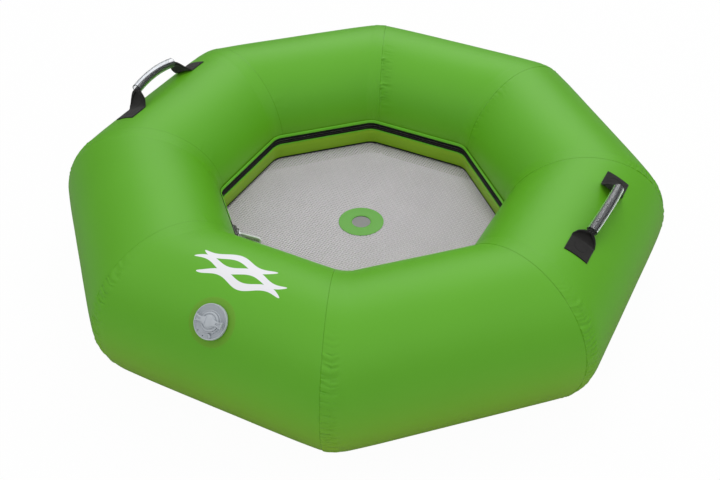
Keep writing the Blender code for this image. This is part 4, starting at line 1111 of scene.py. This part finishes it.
half_bend, rise_start, rise_end, above_skin, grip_rows, hose_rows, hose_sides = 0.0050, 0.8, 0.25, 0.03, 16, 25, 40

arc_radius = (grip_reach ** 2 + grip_sagitta ** 2) / (2 * grip_sagitta)
half_arc = asin(grip_reach / arc_radius)


def strap_loop(place, across, up, folded):
    """The webbing's section: as round as the tube at nought; towards one, its edges are folded over, further in."""
    wall = webbing_wall + (folded_wall - webbing_wall) * folded
    step = webbing_width / strap_steps
    line = np.interp(folded, fold_shares, fold_lines)

    def heading(along):
        bend = np.interp(folded, (0.5, 1.0), (half_bend, (left_fold if along < 0 else right_fold) - fold_flat))
        share = min(1.0, max(0.0, (abs(along) - line) / bend))
        fold = pi * share * share * (3 - 2 * share)
        return (fold if along > 0 else -fold) - along / tube_radius * (1 - folded)

    def walk(way):
        x = z = 0.0
        for i in range(strap_steps // 2):
            angle = heading(way * (i + 0.5) * step)
            x, z = x + way * cos(angle) * step, z + way * sin(angle) * step
            yield way * (i + 1) * step, x, z

    middle = [*reversed(list(walk(-1))), (0.0, 0.0, 0.0), *walk(1)]
    upper, lower = ([place + across * (x - sin(heading(along)) * level) + up * (
        z - fold_lift * folded + cos(heading(along)) * level) for along, x, z in middle]
        for level in (wall / 2, -wall / 2))
    return upper + lower[::-1]


def rise_loops(way, arc_centre, pose, foot):
    """From its foot at the tab, where the strap lies flat, up to the grip's end, where it is folded."""
    end, turned_pose = half_arc + grip_overhang / arc_radius, pose.to_3x3()
    top = pose @ Vector((0, way * arc_radius * sin(end), arc_centre + arc_radius * cos(end)))
    run, across = turned_pose @ Vector((0, way * cos(end), -sin(end))), turned_pose @ Vector((1, 0, 0))
    reach = (top - foot).length / 2
    near, far = foot - Vector((0, way * reach * rise_start, 0)), top + run * reach * rise_end
    loops = []
    for i in range(rise_rows + 1):
        t = i / rise_rows
        place = foot * (1 - t) ** 3 + 3 * near * t * (1 - t) ** 2 + 3 * far * t * t * (1 - t) + top * t ** 3
        slope = 3 * (near - foot) * (1 - t) ** 2 + 6 * (far - near) * t * (1 - t) + 3 * (top - far) * t * t
        up = slope.cross(Vector((1, 0, 0)).lerp(across, t)).normalized() * way
        loops.append(strap_loop(place, up.cross(slope).normalized() * way, up, t))
    return loops


def grip_place(arc_centre, angle, radius=0.0, turn=0.0):
    """A point of the grip's section, at a radius from its arched middle line."""
    up = Vector((0, sin(angle), cos(angle)))
    return Vector((0, 0, arc_centre)) + up * (arc_radius + radius * sin(turn)) + Vector((radius * cos(turn), 0, 0))


def tab_loops(panel, side_angle, middle, way):
    """The welded end of the strap, laid on the panel, with the mark of the welding horn pressed into it."""
    tree = BVHTree.FromObject(panel, bpy.context.evaluated_depsgraph_get())
    side = side_frame(side_angle)
    loops = []
    for i in range(tab_rows + 1):
        share = i / tab_rows
        core = side @ Vector((ring_apothem, middle + way * (tab_near + (tab_far - tab_near) * share), 0))
        edge = 1 - edge_thin * max(0.0, (i - tab_rows + 1))
        low, high = [], []
        for j in range(tab_columns + 1):
            aside = (2 * j / tab_columns - 1) * webbing_width / 2
            turn = handle_turn + aside / tube_radius
            out = side.to_3x3() @ Vector((cos(turn), 0, sin(turn)))
            hit = tree.ray_cast(core + out * (tube_radius + above_skin), -out)[0]
            thin = edge * (1 - edge_thin * (j in (0, tab_columns)))
            from_mark = hypot(aside, (share - mark_middle) * (tab_far - tab_near) * mark_stretch)
            pressed = mark_depth * max(0.0, 1 - abs(from_mark - mark_radius) / mark_width) * (share > mark_start)
            low.append(hit + out * tab_lift)
            high.append(hit + out * (tab_lift + tab_thick * thin - pressed))
        loops.append(low + high[::-1])
    return loops


webbing = cloth_material("black_webbing", (0.020, 0.019, 0.018), 0.78, (0.0026, 0.0016), 0.0007)
pressed_webbing = cloth_material("pressed_webbing", (0.022, 0.022, 0.022), 0.70, (0.0052, 0.0026), 0.0002, 0.4)
hose_vinyl = mottled_material("clear_vinyl", (0.90, 0.92, 0.95), 0.02, (25.0, 0.08, 300.0, 0.04), 0.0, 0.2, {
    "Transmission Weight": 0.97, "IOR": 1.50, "Specular IOR Level": 0.7})

# Of each handle: the angle of its side, the middle of its tabs, then its grip's height, shift, lean and tilt.
handle_poses = {"right": (0.0, 0.0040, 0.0260, -0.0040, 7.0, 8.5), "left": (pi, 0.0, 0.0345, 0.0, 0.0, 0.0)}
for name, (side_angle, middle, grip_rise, shift, lean, tilt) in handle_poses.items():
    at_handle = skin_frame(side_angle, handle_turn, middle)
    pose = Matrix.Translation((0, shift, 0)) @ Matrix.Rotation(radians(lean), 4, "Y") @ Matrix.Rotation(
        radians(tilt), 4, "X")
    at_grip = at_handle @ pose
    arc_centre = grip_rise + grip_sagitta - arc_radius
    body = "handle_" + name
    for end, way in (("near", -1), ("far", 1)):
        welded = tab_loops(panels[name], side_angle, middle, way)
        tab = skin_piece(f"strap_tab_{name}_{end}", welded, webbing)
        settle(tab, "tube", "webbing", f"handle_tab_{name}_{end}")
        columns = len(welded[0]) // 2
        foot = at_handle.inverted() @ ((welded[0][columns // 2] + welded[0][columns + columns // 2]) / 2)
        loops = [[at_handle @ point for point in loop] for loop in rise_loops(way, arc_centre, pose, foot)]
        rise = skin_piece(f"strap_fold_{name}_{end}", loops, webbing)
        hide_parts(f"strap_rise_{name}_{end}")
        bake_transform(rise)

    strap_end = half_arc + (grip_overhang - 0.0003) / arc_radius
    loops = []
    for i in range(-grip_rows, grip_rows + 1):
        angle = strap_end * i / grip_rows
        loops.append([at_grip @ point for point in strap_loop(
            grip_place(arc_centre, angle), Vector((1, 0, 0)), Vector((0, sin(angle), cos(angle))), 1.0)])
    settle(skin_piece("grip_strap_" + name, loops, pressed_webbing), body, "webbing", "grip_webbing_" + name)

    shares = np.linspace(-hose_end, hose_end, hose_rows)
    ends = grip_radius - hose_edge, grip_bore + hose_edge
    wall = [*((share, grip_radius) for share in shares), *((1.0, radius) for radius in ends),
            *((share, grip_bore) for share in shares[::-1]), *((-1.0, radius) for radius in ends[::-1])]
    loops = [[at_grip @ grip_place(arc_centre, half_arc * share, radius, 2 * pi * k / hose_sides)
              for share, radius in wall] for k in range(hose_sides)]
    settle(skin_piece("hose_" + name, loops, hose_vinyl, closed_run=True), body, "clear_vinyl", "grip_" + name)
